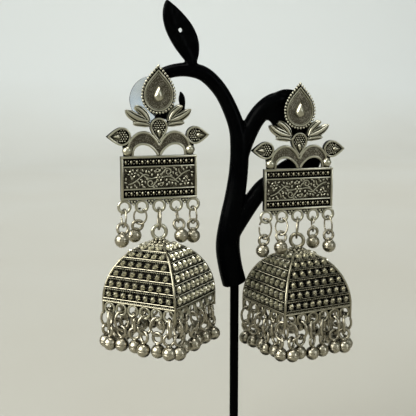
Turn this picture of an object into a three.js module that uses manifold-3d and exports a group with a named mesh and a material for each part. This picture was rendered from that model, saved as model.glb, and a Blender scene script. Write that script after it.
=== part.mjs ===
// A pair of square-domed jhumka earrings hanging on a black display tree. Millimetres, +Z up, the plates face -Y.
// The origin is the centre of the stand's underside.
import * as THREE from "three";
import { mergeVertices } from "three/addons/utils/BufferGeometryUtils.js";
import Module from "manifold-3d";

const wasm = await Module();
wasm.setup();

// Stand
const baseRadius = 31;
const baseEdge = 3.2;
const baseCrown = 6;
const socketRadius = 4.2;
const poleRadius = 1.5;
const poleLength = 62;
const poleInTrunk = 5;
const socketDepth = 6;
const treeHeight = 72.2; // trunk's foot to the middle of the arch at its top
const treeReach = 27.5; // trunk's foot to the left hanging point, sideways
const trunkRadius = 4.2;
const leafLength = 21.5;
const leafThickness = 2;
const leafHoleRadius = 0.8;
const leafForward = 2.6; // how far the hanging leaves stand forward of the trunk's middle

// Where the two studs go through their leaves, sideways and up from the trunk's foot
const leftHang = { x: -treeReach, z: 62.6 };
const rightHang = { x: treeReach * 0.7636, z: 56.9 };

// Clearances
const seatGap = 0.3; // between pieces that touch on the real thing
const linkGap = 0.3; // between two links at their contact

// Stud plate, measured from the middle of the panel's top edge
const plateBack = 0.7;
const fieldFront = 0.6;
const ridgeFront = 1.3;
const panelWidth = 25;
const panelHeight = 14;
const ridgeWidth = 0.7;
const beadBandHeight = 2.5;
const archSpan = 11.2;
const archRise = 8.3;
const windowSpan = 7;
const windowRise = 3.4;
const ballRadius = 1.6;
const crestRadius = 5.6;
const crestBottom = 13.2;
const crestTip = 28.5;
const crestEdge = 0.85; // the beaded edge outside the smooth ridge
const crestDropRadius = 1.35;
const crestDropLength = 5;
const budRadius = 3;
const budTop = 12.3;
const budTip = 4;
const sideRadius = 2.9;
const sideTip = 16.9;
const sideHeight = 6.3;
const loopPitch = 5.7;
const loopRadius = 2.35;
const loopHole = 1.45;
const loopDrop = 2.2; // loop centre below the panel's bottom edge
const loopThickness = 1.2;
const postRadius = 0.45;
const postLength = 10.8;
const postHeight = 17.5;

// Ear back
const discRadius = 7.6;
const discThickness = 1;
const barrelRadius = 2;
const barrelLength = 4;
const leftDiscStandOff = 4; // the thick ends of the branches hold the discs off their leaves
const rightDiscStandOff = 2;

// Drops
const plateBeadRadius = 2.3;
const dropRingInner = 2.2;
const dropRingWire = 0.35;
const beadLoopRadius = 1.71;
const beadLoopWire = 0.44;
const beadLoopRise = 3.7;

// Dome
const domeRadius = 18.8; // centre to corner rib at the rim
const domeHeight = 17.8;
const domeWall = 1.5; // measured towards a corner
const ribWidth = 1;
const ribHeight = 0.7;
const bailRadius = 2.25;
const bailWire = 0.65;
const bailRise = 3.6;
const domeRingInner = 3.1;
const domeRingWire = 0.4;
const rimLoops = 6; // on each side
const rimLoopRadius = 2.2;
const rimLoopHole = 1.5;
const rimLoopThickness = 0.8;
const rimLoopInset = 0.15; // the loops' outer faces behind the rim's
const rimDropLength = 12.4; // rim loop's centre to the bead's centre
const dropTubeRadius = 0.6;
const rimPitchGap = 0.3; // left over along a side once the loops are set out
const leftDomeTurn = 0;
const rightDomeTurn = -34;

// Round sections
const ringSides = 10;
const wireSides = 5;
const beadSides = 10;
const beadBands = 4;
const branchSides = 8;
const poleSides = 12;
const baseSides = 24;

const oxidisedSilver = new THREE.MeshStandardMaterial({ color: 0x9c9686, roughness: 0.35, metalness: 1 });
const brightBead = new THREE.MeshStandardMaterial({ color: 0xb7b1a3, roughness: 0.22, metalness: 1 });
const blackResin = new THREE.MeshStandardMaterial({ color: 0x0b0b0c, roughness: 0.3, metalness: 0 });
const blackSteel = new THREE.MeshStandardMaterial({ color: 0x0a0a0b, roughness: 0.4, metalness: 0.6 });
const clearPlastic = new THREE.MeshStandardMaterial({ color: 0xdfe6ec, roughness: 0.1, metalness: 0 });

const radians = THREE.MathUtils.degToRad;
const at = (geometry, x, y, z) => geometry.translate(x, y, z);

// A closed geometry as a solid that can be joined and cut.
function solid(geometry) {
  const bare = geometry.clone();
  bare.deleteAttribute("normal");
  bare.deleteAttribute("uv");
  const merged = mergeVertices(bare, 1e-4);
  return new wasm.Manifold(
    new wasm.Mesh({
      numProp: 3,
      vertProperties: merged.attributes.position.array,
      triVerts: new Uint32Array(merged.index.array),
    }),
  );
}

const asSolid = (piece) => (piece.isBufferGeometry ? solid(piece) : piece);

// One solid made of several pieces, less the cutters.
function fuse(pieces, cutters = []) {
  let whole = asSolid(pieces[0]);
  for (const piece of pieces.slice(1)) whole = whole.add(asSolid(piece));
  for (const cutter of cutters) whole = whole.subtract(asSolid(cutter));
  return whole;
}

function mesh(name, whole, material) {
  const made = whole.getMesh();
  const geometry = new THREE.BufferGeometry();
  geometry.setAttribute("position", new THREE.BufferAttribute(new Float32Array(made.vertProperties), 3));
  geometry.setIndex(new THREE.BufferAttribute(new Uint32Array(made.triVerts), 1));
  geometry.computeVertexNormals();
  const part = new THREE.Mesh(geometry, material);
  part.name = name;
  return part;
}

// A flat outline in the plate's plane, from one height to another towards the front.
function slab(shape, back, front, curveSegments = 6) {
  const geometry = new THREE.ExtrudeGeometry(shape, {
    depth: front - back,
    bevelEnabled: false,
    curveSegments,
  });
  return geometry.translate(0, 0, back).rotateX(Math.PI / 2);
}

function disc(x, z, radius, sides) {
  const points = Array.from({ length: sides }, (_, i) => {
    const a = (2 * Math.PI * (i + 0.5)) / sides;
    return new THREE.Vector2(x + radius * Math.cos(a), z + radius * Math.sin(a));
  });
  return new THREE.Shape(points);
}

// A ring of round wire, its hole along Y, or along X when turned.
function ring(radius, wire, turned = false) {
  const geometry = new THREE.TorusGeometry(radius, wire, wireSides, ringSides).rotateX(Math.PI / 2);
  return turned ? geometry.rotateZ(Math.PI / 2) : geometry;
}

const bead = (radius) => new THREE.SphereGeometry(radius, beadSides, beadBands).rotateX(Math.PI / 2);

// A drop outline about its round end's centre, with its point at the given distance along +Z.
function dropShape(radius, tip, arcSteps = 5) {
  const touch = Math.asin(radius / tip) * 0.6;
  const shape = new THREE.Shape();
  const points = [];
  for (let i = 0; i <= arcSteps; i++) {
    const a = Math.PI - touch + ((Math.PI + 2 * touch) * i) / arcSteps;
    points.push(new THREE.Vector2(radius * Math.cos(a), radius * Math.sin(a)));
  }
  shape.moveTo(points[0].x, points[0].y);
  for (const p of points.slice(1)) shape.lineTo(p.x, p.y);
  shape.quadraticCurveTo(radius * 0.72, tip * 0.52, 0, tip);
  shape.quadraticCurveTo(-radius * 0.72, tip * 0.52, points[0].x, points[0].y);
  return shape;
}

// A cast plate with a raised ridge along its edge, and its sunk fields cut back from the ridge's face.
function ridged(outline, fields, curveSegments) {
  const sunk = fields.map((field) => slab(field, fieldFront, 2 * ridgeFront, curveSegments));
  return fuse([slab(outline, -plateBack, ridgeFront, curveSegments)], sunk);
}

// A drop-shaped cell at a place on the plate, its point turned from straight up.
function dropCell(radius, tip, ridge, x, z, turn) {
  const put = (geometry) => geometry.rotateY(radians(turn)).translate(x, 0, z);
  const whole = put(slab(dropShape(radius, tip), -plateBack, ridgeFront, 2));
  return fuse([whole], [put(slab(dropShape(radius - ridge, tip - 2.1 * ridge), fieldFront, 2 * ridgeFront, 2))]);
}

// The panel's frame, with one sunk field between two sunk bands.
function panel() {
  const half = panelWidth / 2;
  const rectangle = (low, high, inset) => {
    const x = half - inset;
    return new THREE.Shape([[-x, low], [x, low], [x, high], [-x, high]].map(([u, v]) => new THREE.Vector2(u, v)));
  };
  const bandTop = -ridgeWidth;
  const bandLow = bandTop - beadBandHeight;
  const fieldTop = bandLow - ridgeWidth;
  return ridged(rectangle(-panelHeight, 0, 0), [
    rectangle(bandLow, bandTop, ridgeWidth),
    rectangle(-panelHeight - fieldTop, fieldTop, ridgeWidth),
    rectangle(-panelHeight - bandTop, -panelHeight - bandLow, ridgeWidth),
  ]);
}

function halfEllipse(centre, span, rise, steps) {
  return Array.from({ length: steps + 1 }, (_, i) => {
    const a = (Math.PI * i) / steps;
    return new THREE.Vector2(centre + (span / 2) * Math.cos(a), rise * Math.sin(a));
  });
}

// Two arches side by side on the panel, each over an open window.
function arches() {
  const foot = ridgeWidth / 2;
  const steps = 8;
  const parts = [];
  const windows = [];
  for (const side of [-1, 1]) {
    const centre = (side * archSpan) / 2;
    const outline = new THREE.Shape([
      ...halfEllipse(centre, archSpan, archRise, steps),
      new THREE.Vector2(centre - archSpan / 2, -foot),
      new THREE.Vector2(centre + archSpan / 2, -foot),
    ]);
    const band = halfEllipse(centre, archSpan - 2 * ridgeWidth, archRise - ridgeWidth, steps);
    const sill = halfEllipse(centre, windowSpan + 2 * ridgeWidth, windowRise + ridgeWidth, steps);
    parts.push(ridged(outline, [new THREE.Shape([...band, ...sill.reverse()])]));
    windows.push(slab(new THREE.Shape(halfEllipse(centre, windowSpan, windowRise, steps)), -2, 3));
  }
  return { parts, windows };
}

// The three leaves of one wing, as root and tip shares of the crest's radius, and a width share.
const wingLeaves = [
  { rootX: 0.6, rootZ: 2.1, tipX: 1.5, tipZ: 2.95, width: 0.3 },
  { rootX: 0.62, rootZ: 1.95, tipX: 1.86, tipZ: 2.66, width: 0.38 },
  { rootX: 0.45, rootZ: 1.68, tipX: 1.5, tipZ: 1.74, width: 0.28 },
];

function wing(side) {
  return wingLeaves.map((leaf) => {
    const root = new THREE.Vector2(side * leaf.rootX, leaf.rootZ).multiplyScalar(crestRadius);
    const tip = new THREE.Vector2(side * leaf.tipX, leaf.tipZ).multiplyScalar(crestRadius);
    const along = tip.clone().sub(root);
    const across = new THREE.Vector2(-along.y, along.x).normalize().multiplyScalar((leaf.width * crestRadius) / 2);
    const outline = [[0, 0.8], [0.35, 1], [0.8, 0.75], [1, 0], [0.8, -0.75], [0.35, -1], [0, -0.8]];
    const points = outline.map(([s, w]) => root.clone().addScaledVector(along, s).addScaledVector(across, w * side));
    return slab(new THREE.Shape(points), -plateBack, ridgeFront);
  });
}

const loopHeight = -panelHeight - loopDrop;

// The five cast loops under the panel and the webs of grains between them.
function loopRow() {
  const half = loopThickness / 2;
  const parts = [];
  const holes = [];
  for (const i of [-2, -1, 0, 1, 2]) {
    parts.push(slab(disc(i * loopPitch, loopHeight, loopRadius, ringSides), -half, half));
    holes.push(slab(disc(i * loopPitch, loopHeight, loopHole, 8), -2 * half, 2 * half));
  }
  for (const i of [-1.5, -0.5, 0.5, 1.5]) {
    const web = [[-1.3, 0.5], [1.3, 0.5], [0.7, -0.2], [0, -0.9], [-0.7, -0.2]];
    const points = web.map(([u, v]) => {
      return new THREE.Vector2(i * loopPitch + (u * loopRadius) / 2, -panelHeight + v * loopDrop);
    });
    parts.push(slab(new THREE.Shape(points.reverse()), -half, half));
  }
  return { parts, holes };
}

const crestCentre = crestBottom + crestRadius;

// The whole casting: panel, arches, buds, wings, crest, loops and the soldered post.
function studPlate(name) {
  const arch = arches();
  const loops = loopRow();
  const ballX = panelWidth / 2 - 1.3 * ballRadius;
  const ballZ = 1.3 * ballRadius;
  const sideX = sideTip - 1.7 * sideRadius;
  const pillar = [[-0.8, -0.3], [0.8, -0.3], [0.8, 4.4], [-0.8, 4.4]];
  const parts = [panel(), ...arch.parts];
  for (const side of [-1, 1]) {
    const post = pillar.map(([u, v]) => new THREE.Vector2(side * ballX + (u * ballRadius), (v * sideHeight) / 6.3));
    parts.push(slab(new THREE.Shape(post), -plateBack, fieldFront));
    parts.push(at(bead(ballRadius), side * ballX, -fieldFront, ballZ));
    parts.push(dropCell(sideRadius, 1.7 * sideRadius, 0.6, side * sideX, sideHeight, side * 90));
    parts.push(...wing(side));
  }
  const stalk = [[-0.5, 1], [0.5, 1], [0.75, 1.5], [0.75, 2.8], [-0.75, 2.8], [-0.75, 1.5]].map(([u, v]) => {
    return new THREE.Vector2(u * crestRadius, v * crestRadius);
  });
  parts.push(slab(new THREE.Shape(stalk), -plateBack, fieldFront));
  parts.push(dropCell(budRadius, budTop - budRadius - budTip, 0.6, 0, budTop - budRadius, 180));
  parts.push(slab(dropShape(crestRadius, crestTip - crestCentre, 8), -plateBack, fieldFront, 3).translate(0, 0, crestCentre));
  const ridge = dropShape(crestRadius - crestEdge, crestTip - crestCentre - 1.5 * crestEdge, 8);
  ridge.holes.push(dropShape(crestRadius - crestEdge - 0.7, crestTip - crestCentre - 1.5 * crestEdge - 1.5, 8));
  parts.push(slab(ridge, 0, ridgeFront, 3).translate(0, 0, crestCentre));
  const drop = dropShape(crestDropRadius, crestDropLength - crestDropRadius);
  parts.push(slab(drop, 0, ridgeFront + 0.5, 2).translate(0, 0, crestCentre));
  parts.push(...loops.parts);
  const post = new THREE.CylinderGeometry(postRadius, postRadius, postLength + plateBack, 8);
  parts.push(at(post, 0, (postLength + plateBack) / 2, postHeight));
  return mesh(name, fuse(parts, [...arch.windows, ...loops.holes]), oxidisedSilver);
}

// A clear disc on a short barrel, pushed onto the post from behind.
function earBack(name, standOff) {
  const front = plateBack + seatGap + leafThickness + seatGap + standOff;
  const bore = postRadius + seatGap;
  const profile = [
    [bore, 0],
    [discRadius, 0],
    [discRadius, discThickness],
    [barrelRadius, discThickness],
    [barrelRadius * 0.8, barrelLength],
    [bore, barrelLength],
    [bore, 0],
  ].map(([r, y]) => new THREE.Vector2(r, y));
  const geometry = new THREE.LatheGeometry(profile, 12);
  return mesh(name, solid(at(geometry, 0, front, postHeight)), clearPlastic);
}

const hook = (hole) => -hole + linkGap; // height of a hanging ring's inner top below the centre of a hole

// A jump ring and a bead with its own loop, hanging from a hole at the group's origin.
function beadDrop(name, beadName, hole) {
  const group = new THREE.Group();
  const ringZ = hook(hole) - dropRingInner;
  const loopZ = ringZ + hook(dropRingInner) - (beadLoopRadius - beadLoopWire);
  const link = ring(dropRingInner + dropRingWire, dropRingWire, true);
  group.add(mesh(name, solid(at(link, 0, 0, ringZ)), brightBead));
  const drop = [at(ring(beadLoopRadius, beadLoopWire), 0, 0, loopZ)];
  drop.push(at(bead(plateBeadRadius), 0, 0, loopZ - beadLoopRise));
  group.add(mesh(beadName, fuse(drop), brightBead));
  return group;
}

// How each small drop hangs: its loop, counted from the middle, then its lean sideways and its swing to the back.
const leftDrops = [
  { loop: -2, lean: -6, swing: -9 },
  { loop: -1, lean: -12, swing: 16 },
  { loop: 1, lean: 3, swing: -18 },
  { loop: 2, lean: 0, swing: 0 },
];
const rightDrops = [
  { loop: -2, lean: -6, swing: 4 },
  { loop: -1, lean: -8, swing: -18 },
  { loop: 1, lean: 8, swing: 18 },
  { loop: 2, lean: 2, swing: -4 },
];

// Share of the dome's radius, as a half width of its square, at a share of its height.
const domeWidth = (share) => Math.sqrt(Math.max(0, 1 - share * share));

// The rows of studs, bottom row first, each with its lower and upper edge as shares of the dome's height.
const studRows = [
  { low: 0.05, high: 0.21 },
  { low: 0.25, high: 0.4 },
  { low: 0.44, high: 0.58 },
  { low: 0.62, high: 0.74 },
  { low: 0.77, high: 0.86 },
  { low: 0.89, high: 0.95 },
];

// The hollow square dome. A lathe of four segments gives the square, with its corners on X and Y.
function domeShell() {
  const rowRise = 0.5;
  const outer = [[domeRadius, 0]];
  for (const { low, high } of studRows) {
    outer.push([domeRadius * domeWidth(low) + rowRise, low * domeHeight]);
    outer.push([domeRadius * domeWidth(high), high * domeHeight]);
  }
  outer.push([0, domeHeight]);
  const inner = [0, 0.25, 0.5, 0.7, 0.85, 0.95].map((share) => {
    return [(domeRadius - domeWall) * domeWidth(share), share * (domeHeight - domeWall)];
  });
  inner.push([0, domeHeight - domeWall]);
  const profile = [...outer, ...inner.reverse(), outer[0]].map(([r, z]) => new THREE.Vector2(r, z));
  return new THREE.LatheGeometry(profile, 4).rotateX(Math.PI / 2);
}

// One rib from corner to corner over the top, down past the rim.
function domeRib() {
  const steps = 10;
  const foot = rimLoopRadius * 2;
  const arc = (radius, height) => {
    return Array.from({ length: steps + 1 }, (_, i) => {
      const a = (Math.PI * i) / steps;
      return new THREE.Vector2(radius * Math.cos(a), height * Math.sin(a));
    });
  };
  const outer = arc(domeRadius + ribHeight, domeHeight + ribHeight * 0.6);
  const inner = arc(domeRadius - domeWall * 0.7, domeHeight - domeWall * 0.7).reverse();
  const footOut = domeRadius + ribHeight;
  const footIn = domeRadius - domeWall * 0.7;
  const points = [
    ...outer,
    new THREE.Vector2(-footOut, -foot),
    new THREE.Vector2(-footIn, -foot),
    ...inner,
    new THREE.Vector2(footIn, -foot),
    new THREE.Vector2(footOut, -foot),
  ];
  return slab(new THREE.Shape(points), -ribWidth / 2, ribWidth / 2);
}

const rimSide = domeRadius * Math.SQRT2;
const rimPitch = (rimSide - rimPitchGap) / rimLoops;
const rimBeadRadius = rimPitch * 0.489; // the beads crowd each other along the rim
const rimLoopX = (i) => (i - (rimLoops - 1) / 2) * rimPitch;

// The cast loops along one side of the rim, and their holes, in the plane of that side.
function rimLoopRow(side) {
  const turn = Math.PI / 4 + (Math.PI / 2) * side;
  const out = domeRadius / Math.SQRT2 - rimLoopInset - rimLoopThickness / 2;
  const arcSteps = 3;
  const half = rimPitch / 2;
  const outline = [];
  for (let i = 0; i < rimLoops; i++) {
    for (let k = 0; k <= arcSteps; k++) {
      const a = Math.PI + (Math.PI * k) / arcSteps;
      outline.push(new THREE.Vector2(rimLoopX(i) + half * Math.cos(a), -rimLoopRadius + rimLoopRadius * Math.sin(a)));
    }
  }
  outline.push(new THREE.Vector2(rimLoopX(rimLoops - 1) + half, 0.6));
  outline.push(new THREE.Vector2(rimLoopX(0) - half, 0.6));
  const row = new THREE.Shape(outline);
  for (let i = 0; i < rimLoops; i++) {
    row.holes.push(disc(rimLoopX(i), -rimLoopRadius, rimLoopHole, 6));
  }
  return slab(row, -rimLoopThickness / 2, rimLoopThickness / 2).translate(0, -out, 0).rotateZ(turn);
}

function bail() {
  const neck = new THREE.CylinderGeometry(bailWire * 1.6, bailWire * 2.4, bailRise - bailRadius + 1, 8);
  neck.rotateX(Math.PI / 2);
  return [
    at(new THREE.TorusGeometry(bailRadius, bailWire, wireSides, ringSides).rotateX(Math.PI / 2), 0, 0, domeHeight + bailRise),
    at(neck, 0, 0, domeHeight - 0.5 + (bailRise - bailRadius) / 2),
  ];
}

// The dome with its ribs, rim loops and bail, its rim at the group's origin.
function dome(name) {
  const rib = domeRib();
  const rows = [0, 1, 2, 3].map(rimLoopRow);
  const parts = [domeShell(), rib, rib.clone().rotateZ(Math.PI / 2), ...rows, ...bail()];
  return mesh(name, fuse(parts), oxidisedSilver);
}

// How far each bead hangs out from its loop, along the first and the second side of a chain of two. Beads near
// a corner of the dome are pushed outwards by each other.
const weave = [
  [1.1, 0.45, -0.2, 0.35, 0.2, 0.8],
  [0.8, 0.2, 0.35, -0.2, 0.45, 1.1],
];

// The bead drops of two sides of the rim. Each chain is a plain tube here, and each bead meets the next.
function rimDrops(name, sides) {
  const crowding = 0.97; // the beads' spacing as a share of the loops'
  const swelling = 1.065; // the beads' radius as a share of the real one, so that neighbours meet
  const barrel = [[0, -1], [swelling, -0.4], [swelling, 0.4], [0, 1]].map(([r, z]) => {
    return new THREE.Vector2(r * rimBeadRadius, z * rimBeadRadius);
  });
  const parts = [];
  sides.forEach((side, half) => {
    const turn = Math.PI / 4 + (Math.PI / 2) * side;
    const out = domeRadius / Math.SQRT2 - rimLoopInset - rimLoopThickness / 2;
    for (let i = 0; i < rimLoops; i++) {
      const shift = weave[half][i];
      const tubeTop = -2 * rimLoopRadius - seatGap;
      const tubeLow = -rimLoopRadius - rimDropLength + rimBeadRadius * 0.8;
      const tube = new THREE.CylinderGeometry(dropTubeRadius, dropTubeRadius, tubeTop - tubeLow, 4);
      tube.rotateX(Math.PI / 2).translate(rimLoopX(i), -out - shift * 0.5, (tubeTop + tubeLow) / 2);
      const ball = new THREE.LatheGeometry(barrel, beadSides).rotateX(Math.PI / 2).rotateZ(Math.PI / beadSides);
      ball.translate(rimLoopX(i) * crowding, -out - shift, -rimLoopRadius - rimDropLength);
      parts.push(tube.rotateZ(turn), ball.rotateZ(turn));
    }
  });
  return mesh(name, fuse(parts), brightBead);
}

const leafBack = leafForward - leafThickness / 2;
const plateY = -(leafForward + leafThickness / 2 + seatGap + plateBack);

// One earring, hung by its post at a point of the stand.
function earring(side, hang, drops, domeTurn, standOff) {
  const group = new THREE.Group();
  group.position.set(hang.x, plateY, baseCrown + poleLength + hang.z - postHeight);
  group.add(studPlate(side + "_stud_plate"), earBack(side + "_ear_back", standOff));
  drops.forEach(({ loop, lean, swing }, i) => {
    const drop = beadDrop(side + "_plate_ring_" + (i + 1), side + "_plate_bead_" + (i + 1), 0);
    const pivot = new THREE.Group();
    pivot.position.set(loop * loopPitch, 0, loopHeight - loopHole);
    pivot.rotation.set(radians(swing), radians(-lean), 0);
    pivot.add(drop);
    group.add(pivot);
  });
  const ringZ = loopHeight + hook(loopHole) - domeRingInner;
  const bailZ = ringZ + hook(domeRingInner) - (bailRadius - bailWire);
  const link = new THREE.TorusGeometry(domeRingInner + domeRingWire, domeRingWire, wireSides, ringSides);
  link.rotateX(Math.PI / 2).rotateZ(Math.PI / 2 + radians(domeTurn / 2));
  group.add(mesh(side + "_dome_ring", solid(at(link, 0, 0, ringZ)), brightBead));
  const bell = new THREE.Group();
  bell.position.z = bailZ - bailRise - domeHeight;
  bell.rotation.z = radians(domeTurn);
  bell.add(dome(side + "_dome"));
  bell.add(rimDrops(side + "_rim_drops_front", [3, 0]), rimDrops(side + "_rim_drops_back", [1, 2]));
  group.add(bell);
  return group;
}

// A tapering round branch through a table of sections: sideways and up as shares of the tree's reach and height,
// forward as a share of the leaves' stand-off, and the radius as a share of the trunk's.
// A branch that carries an earring ends at a given tip, and bends further the nearer it comes to it.
function branch(sections, steps, tip) {
  const points = sections.map(({ x, forward, z }) => {
    return new THREE.Vector3(x * treeReach, -forward * leafForward, z * treeHeight);
  });
  if (tip) {
    const last = points.length - 1;
    const shift = new THREE.Vector3(tip.x - points[last].x, 0, tip.z - points[last].z);
    points.forEach((point, i) => point.addScaledVector(shift, (i / last) ** 2));
  }
  const path = new THREE.CatmullRomCurve3(points, false, "centripetal");
  const positions = [];
  const index = [];
  const up = new THREE.Vector3(0, 1, 0);
  for (let i = 0; i <= steps; i++) {
    const t = i / steps;
    const place = path.getPoint(t);
    const along = path.getTangent(t);
    const side = new THREE.Vector3().crossVectors(along, up).normalize();
    const front = new THREE.Vector3().crossVectors(side, along).normalize();
    const k = t * (sections.length - 1);
    const j = Math.min(Math.floor(k), sections.length - 2);
    const share = THREE.MathUtils.lerp(sections[j].radius, sections[j + 1].radius, k - j);
    for (let s = 0; s < branchSides; s++) {
      const a = (2 * Math.PI * s) / branchSides;
      const p = place.clone().addScaledVector(side, share * trunkRadius * Math.cos(a));
      positions.push(...p.addScaledVector(front, share * trunkRadius * Math.sin(a)).toArray());
    }
  }
  const wrap = (s) => s % branchSides;
  for (let i = 0; i < steps; i++) {
    for (let s = 0; s < branchSides; s++) {
      const [a, b] = [i * branchSides + s, i * branchSides + wrap(s + 1)];
      const [c, d] = [a + branchSides, b + branchSides];
      index.push(a, d, b, a, c, d);
    }
  }
  const last = steps * branchSides;
  for (let s = 1; s < branchSides - 1; s++) {
    index.push(0, s, s + 1, last, last + s + 1, last + s);
  }
  const geometry = new THREE.BufferGeometry();
  geometry.setAttribute("position", new THREE.Float32BufferAttribute(positions, 3));
  geometry.setIndex(index);
  return geometry;
}

const trunkAndArch = [
  { x: 0, forward: 0, z: 0, radius: 1 },
  { x: -0.06, forward: 0, z: 0.09, radius: 0.99 },
  { x: -0.09, forward: 0, z: 0.19, radius: 0.99 },
  { x: -0.05, forward: 0, z: 0.31, radius: 0.91 },
  { x: 0, forward: 0, z: 0.41, radius: 0.84 },
  { x: 0.045, forward: 0, z: 0.53, radius: 0.78 },
  { x: 0.055, forward: 0, z: 0.65, radius: 0.75 },
  { x: 0.01, forward: 0, z: 0.75, radius: 0.66 },
  { x: -0.13, forward: 0, z: 0.87, radius: 0.6 },
  { x: -0.28, forward: 0, z: 0.945, radius: 0.6 },
  { x: -0.44, forward: 0, z: 0.988, radius: 0.59 },
  { x: -0.66, forward: 0, z: 1, radius: 0.54 },
  { x: -0.88, forward: 0.1, z: 0.983, radius: 0.5 },
  { x: -0.995, forward: 0.5, z: 0.945, radius: 0.44 },
  { x: -1.02, forward: 0.95, z: 0.9, radius: 0.2 },
];
const upperBranch = [
  { x: 0.06, forward: 0, z: 0.62, radius: 0.7 },
  { x: 0.12, forward: 0, z: 0.7, radius: 0.68 },
  { x: 0.24, forward: 0.05, z: 0.775, radius: 0.62 },
  { x: 0.38, forward: 0.35, z: 0.82, radius: 0.58 },
  { x: 0.52, forward: 0.85, z: 0.83, radius: 0.28 },
];
const lowerBranch = [
  { x: -0.04, forward: 0, z: 0.27, radius: 0.8 },
  { x: 0.1, forward: 0, z: 0.345, radius: 0.78 },
  { x: 0.24, forward: 0, z: 0.395, radius: 0.72 },
  { x: 0.4, forward: 0, z: 0.45, radius: 0.66 },
  { x: 0.58, forward: 0, z: 0.49, radius: 0.3 },
];
const leafStem = [
  { x: -0.57, forward: 0, z: 0.985, radius: 0.5 },
  { x: -0.56, forward: 0, z: 1.03, radius: 0.4 },
  { x: -0.6, forward: 0, z: 1.07, radius: 0.26 },
];

// Leaf outlines as rows of a bend and an end point, each in shares of the leaf's length from its anchor.
const topLeaf = {
  anchor: { x: -0.56, forward: 0, z: 1.03 },
  start: [-0.06, 0],
  curves: [
    [-0.57, 0.55, -0.37, 0.93],
    [0.28, 0.48, 0.09, 0],
  ],
  hole: [-0.16, 0.48],
};
const leftLeaf = {
  anchor: { forward: 1 },
  start: [-0.1, 0.27],
  curves: [
    [-0.28, -0.12, 0.02, -0.27],
    [0.5, -0.36, 0.41, 0.09],
    [0.3, -0.09, 0.2, 0.03],
    [0.12, 0.14, 0.07, 0.3],
  ],
  hole: [0, 0],
};
const rightLeaf = {
  anchor: { forward: 1 },
  start: [-0.53, 0.17],
  curves: [
    [-0.1, 0.66, 0.13, 0.22],
    [0.26, -0.02, 0.22, -0.33],
    [-0.2, -0.42, -0.3, -0.16],
    [-0.36, -0.06, -0.52, -0.04],
  ],
  hole: [0, 0],
};
const lowLeaf = {
  anchor: { x: 0.4, forward: 0, z: 0.45 },
  start: [-0.05, 0.12],
  curves: [
    [0.5, 0.34, 0.92, 0.5],
    [0.78, -0.3, 0, -0.14],
  ],
  hole: [0.5, 0.14],
};

function leafBlade({ anchor, start, curves, hole }, hang) {
  const shape = new THREE.Shape();
  shape.moveTo(start[0] * leafLength, start[1] * leafLength);
  for (const [bendX, bendZ, x, z] of curves) {
    shape.quadraticCurveTo(bendX * leafLength, bendZ * leafLength, x * leafLength, z * leafLength);
  }
  const points = disc(hole[0] * leafLength, hole[1] * leafLength, leafHoleRadius, 8).getPoints();
  shape.holes.push(new THREE.Path(points));
  const half = leafThickness / 2;
  const x = hang ? hang.x : anchor.x * treeReach;
  const z = hang ? hang.z : anchor.z * treeHeight;
  return slab(shape, -half, half, 4).translate(x, -anchor.forward * leafForward, z);
}

function standTree() {
  const archTip = { x: leftHang.x - leafLength * 0.026, z: leftHang.z + leafLength * 0.111 };
  const branchTip = { x: rightHang.x - leafLength * 0.312, z: rightHang.z + leafLength * 0.141 };
  const parts = [
    branch(trunkAndArch, 19, archTip),
    branch(upperBranch, 6, branchTip),
    branch(lowerBranch, 6),
    branch(leafStem, 3),
    leafBlade(topLeaf),
    leafBlade(leftLeaf, leftHang),
    leafBlade(rightLeaf, rightHang),
    leafBlade(lowLeaf),
  ];
  const socket = new THREE.CylinderGeometry(poleRadius + seatGap, poleRadius + seatGap, 2 * socketDepth, poleSides);
  return mesh("stand_tree", fuse(parts, [socket.rotateX(Math.PI / 2)]), blackResin);
}

function standBase() {
  const profile = [
    [0, 0],
    [baseRadius, 0],
    [baseRadius, baseEdge * 0.7],
    [baseRadius - 1, baseEdge],
    [baseRadius * 0.35, baseCrown * 0.8],
    [socketRadius, baseCrown],
    [0, baseCrown],
  ].map(([r, z]) => new THREE.Vector2(r, z));
  return mesh("stand_base", solid(new THREE.LatheGeometry(profile, baseSides).rotateX(Math.PI / 2)), blackResin);
}

// The rod stands on the base and runs a little way up inside the trunk.
function standPole() {
  const length = poleLength + poleInTrunk - seatGap;
  const rod = new THREE.CylinderGeometry(poleRadius, poleRadius, length, poleSides).rotateX(Math.PI / 2);
  return mesh("stand_pole", solid(at(rod, 0, 0, baseCrown + seatGap + length / 2)), blackSteel);
}

const tree = standTree();
tree.position.z = baseCrown + poleLength;

const pair = new THREE.Group();
pair.add(standBase(), standPole(), tree);
pair.add(earring("left", leftHang, leftDrops, leftDomeTurn, leftDiscStandOff));
pair.add(earring("right", rightHang, rightDrops, rightDomeTurn, rightDiscStandOff));

export default pair;
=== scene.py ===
# A pair of square-domed jhumka earrings on a black display tree.
# Sizes are in millimetres here, and each finished piece is put in its place in metres.
import math
import random

import bpy
import numpy as np
from mathutils import Matrix, Vector


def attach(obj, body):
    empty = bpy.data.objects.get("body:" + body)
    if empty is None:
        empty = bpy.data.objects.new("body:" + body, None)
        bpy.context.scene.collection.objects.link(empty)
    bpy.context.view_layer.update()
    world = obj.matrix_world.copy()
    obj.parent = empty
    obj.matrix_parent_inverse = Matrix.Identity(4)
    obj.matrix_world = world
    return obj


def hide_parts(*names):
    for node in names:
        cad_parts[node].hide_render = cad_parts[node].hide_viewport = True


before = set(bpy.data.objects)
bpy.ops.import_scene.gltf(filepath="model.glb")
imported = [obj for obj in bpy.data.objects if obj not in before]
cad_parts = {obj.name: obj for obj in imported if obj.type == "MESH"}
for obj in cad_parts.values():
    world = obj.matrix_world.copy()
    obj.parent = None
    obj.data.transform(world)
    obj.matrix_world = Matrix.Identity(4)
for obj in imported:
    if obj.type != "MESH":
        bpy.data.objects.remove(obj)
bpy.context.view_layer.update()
bpy.ops.object.select_all(action="DESELECT")
random.seed(7)
print("frame loaded")


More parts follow.
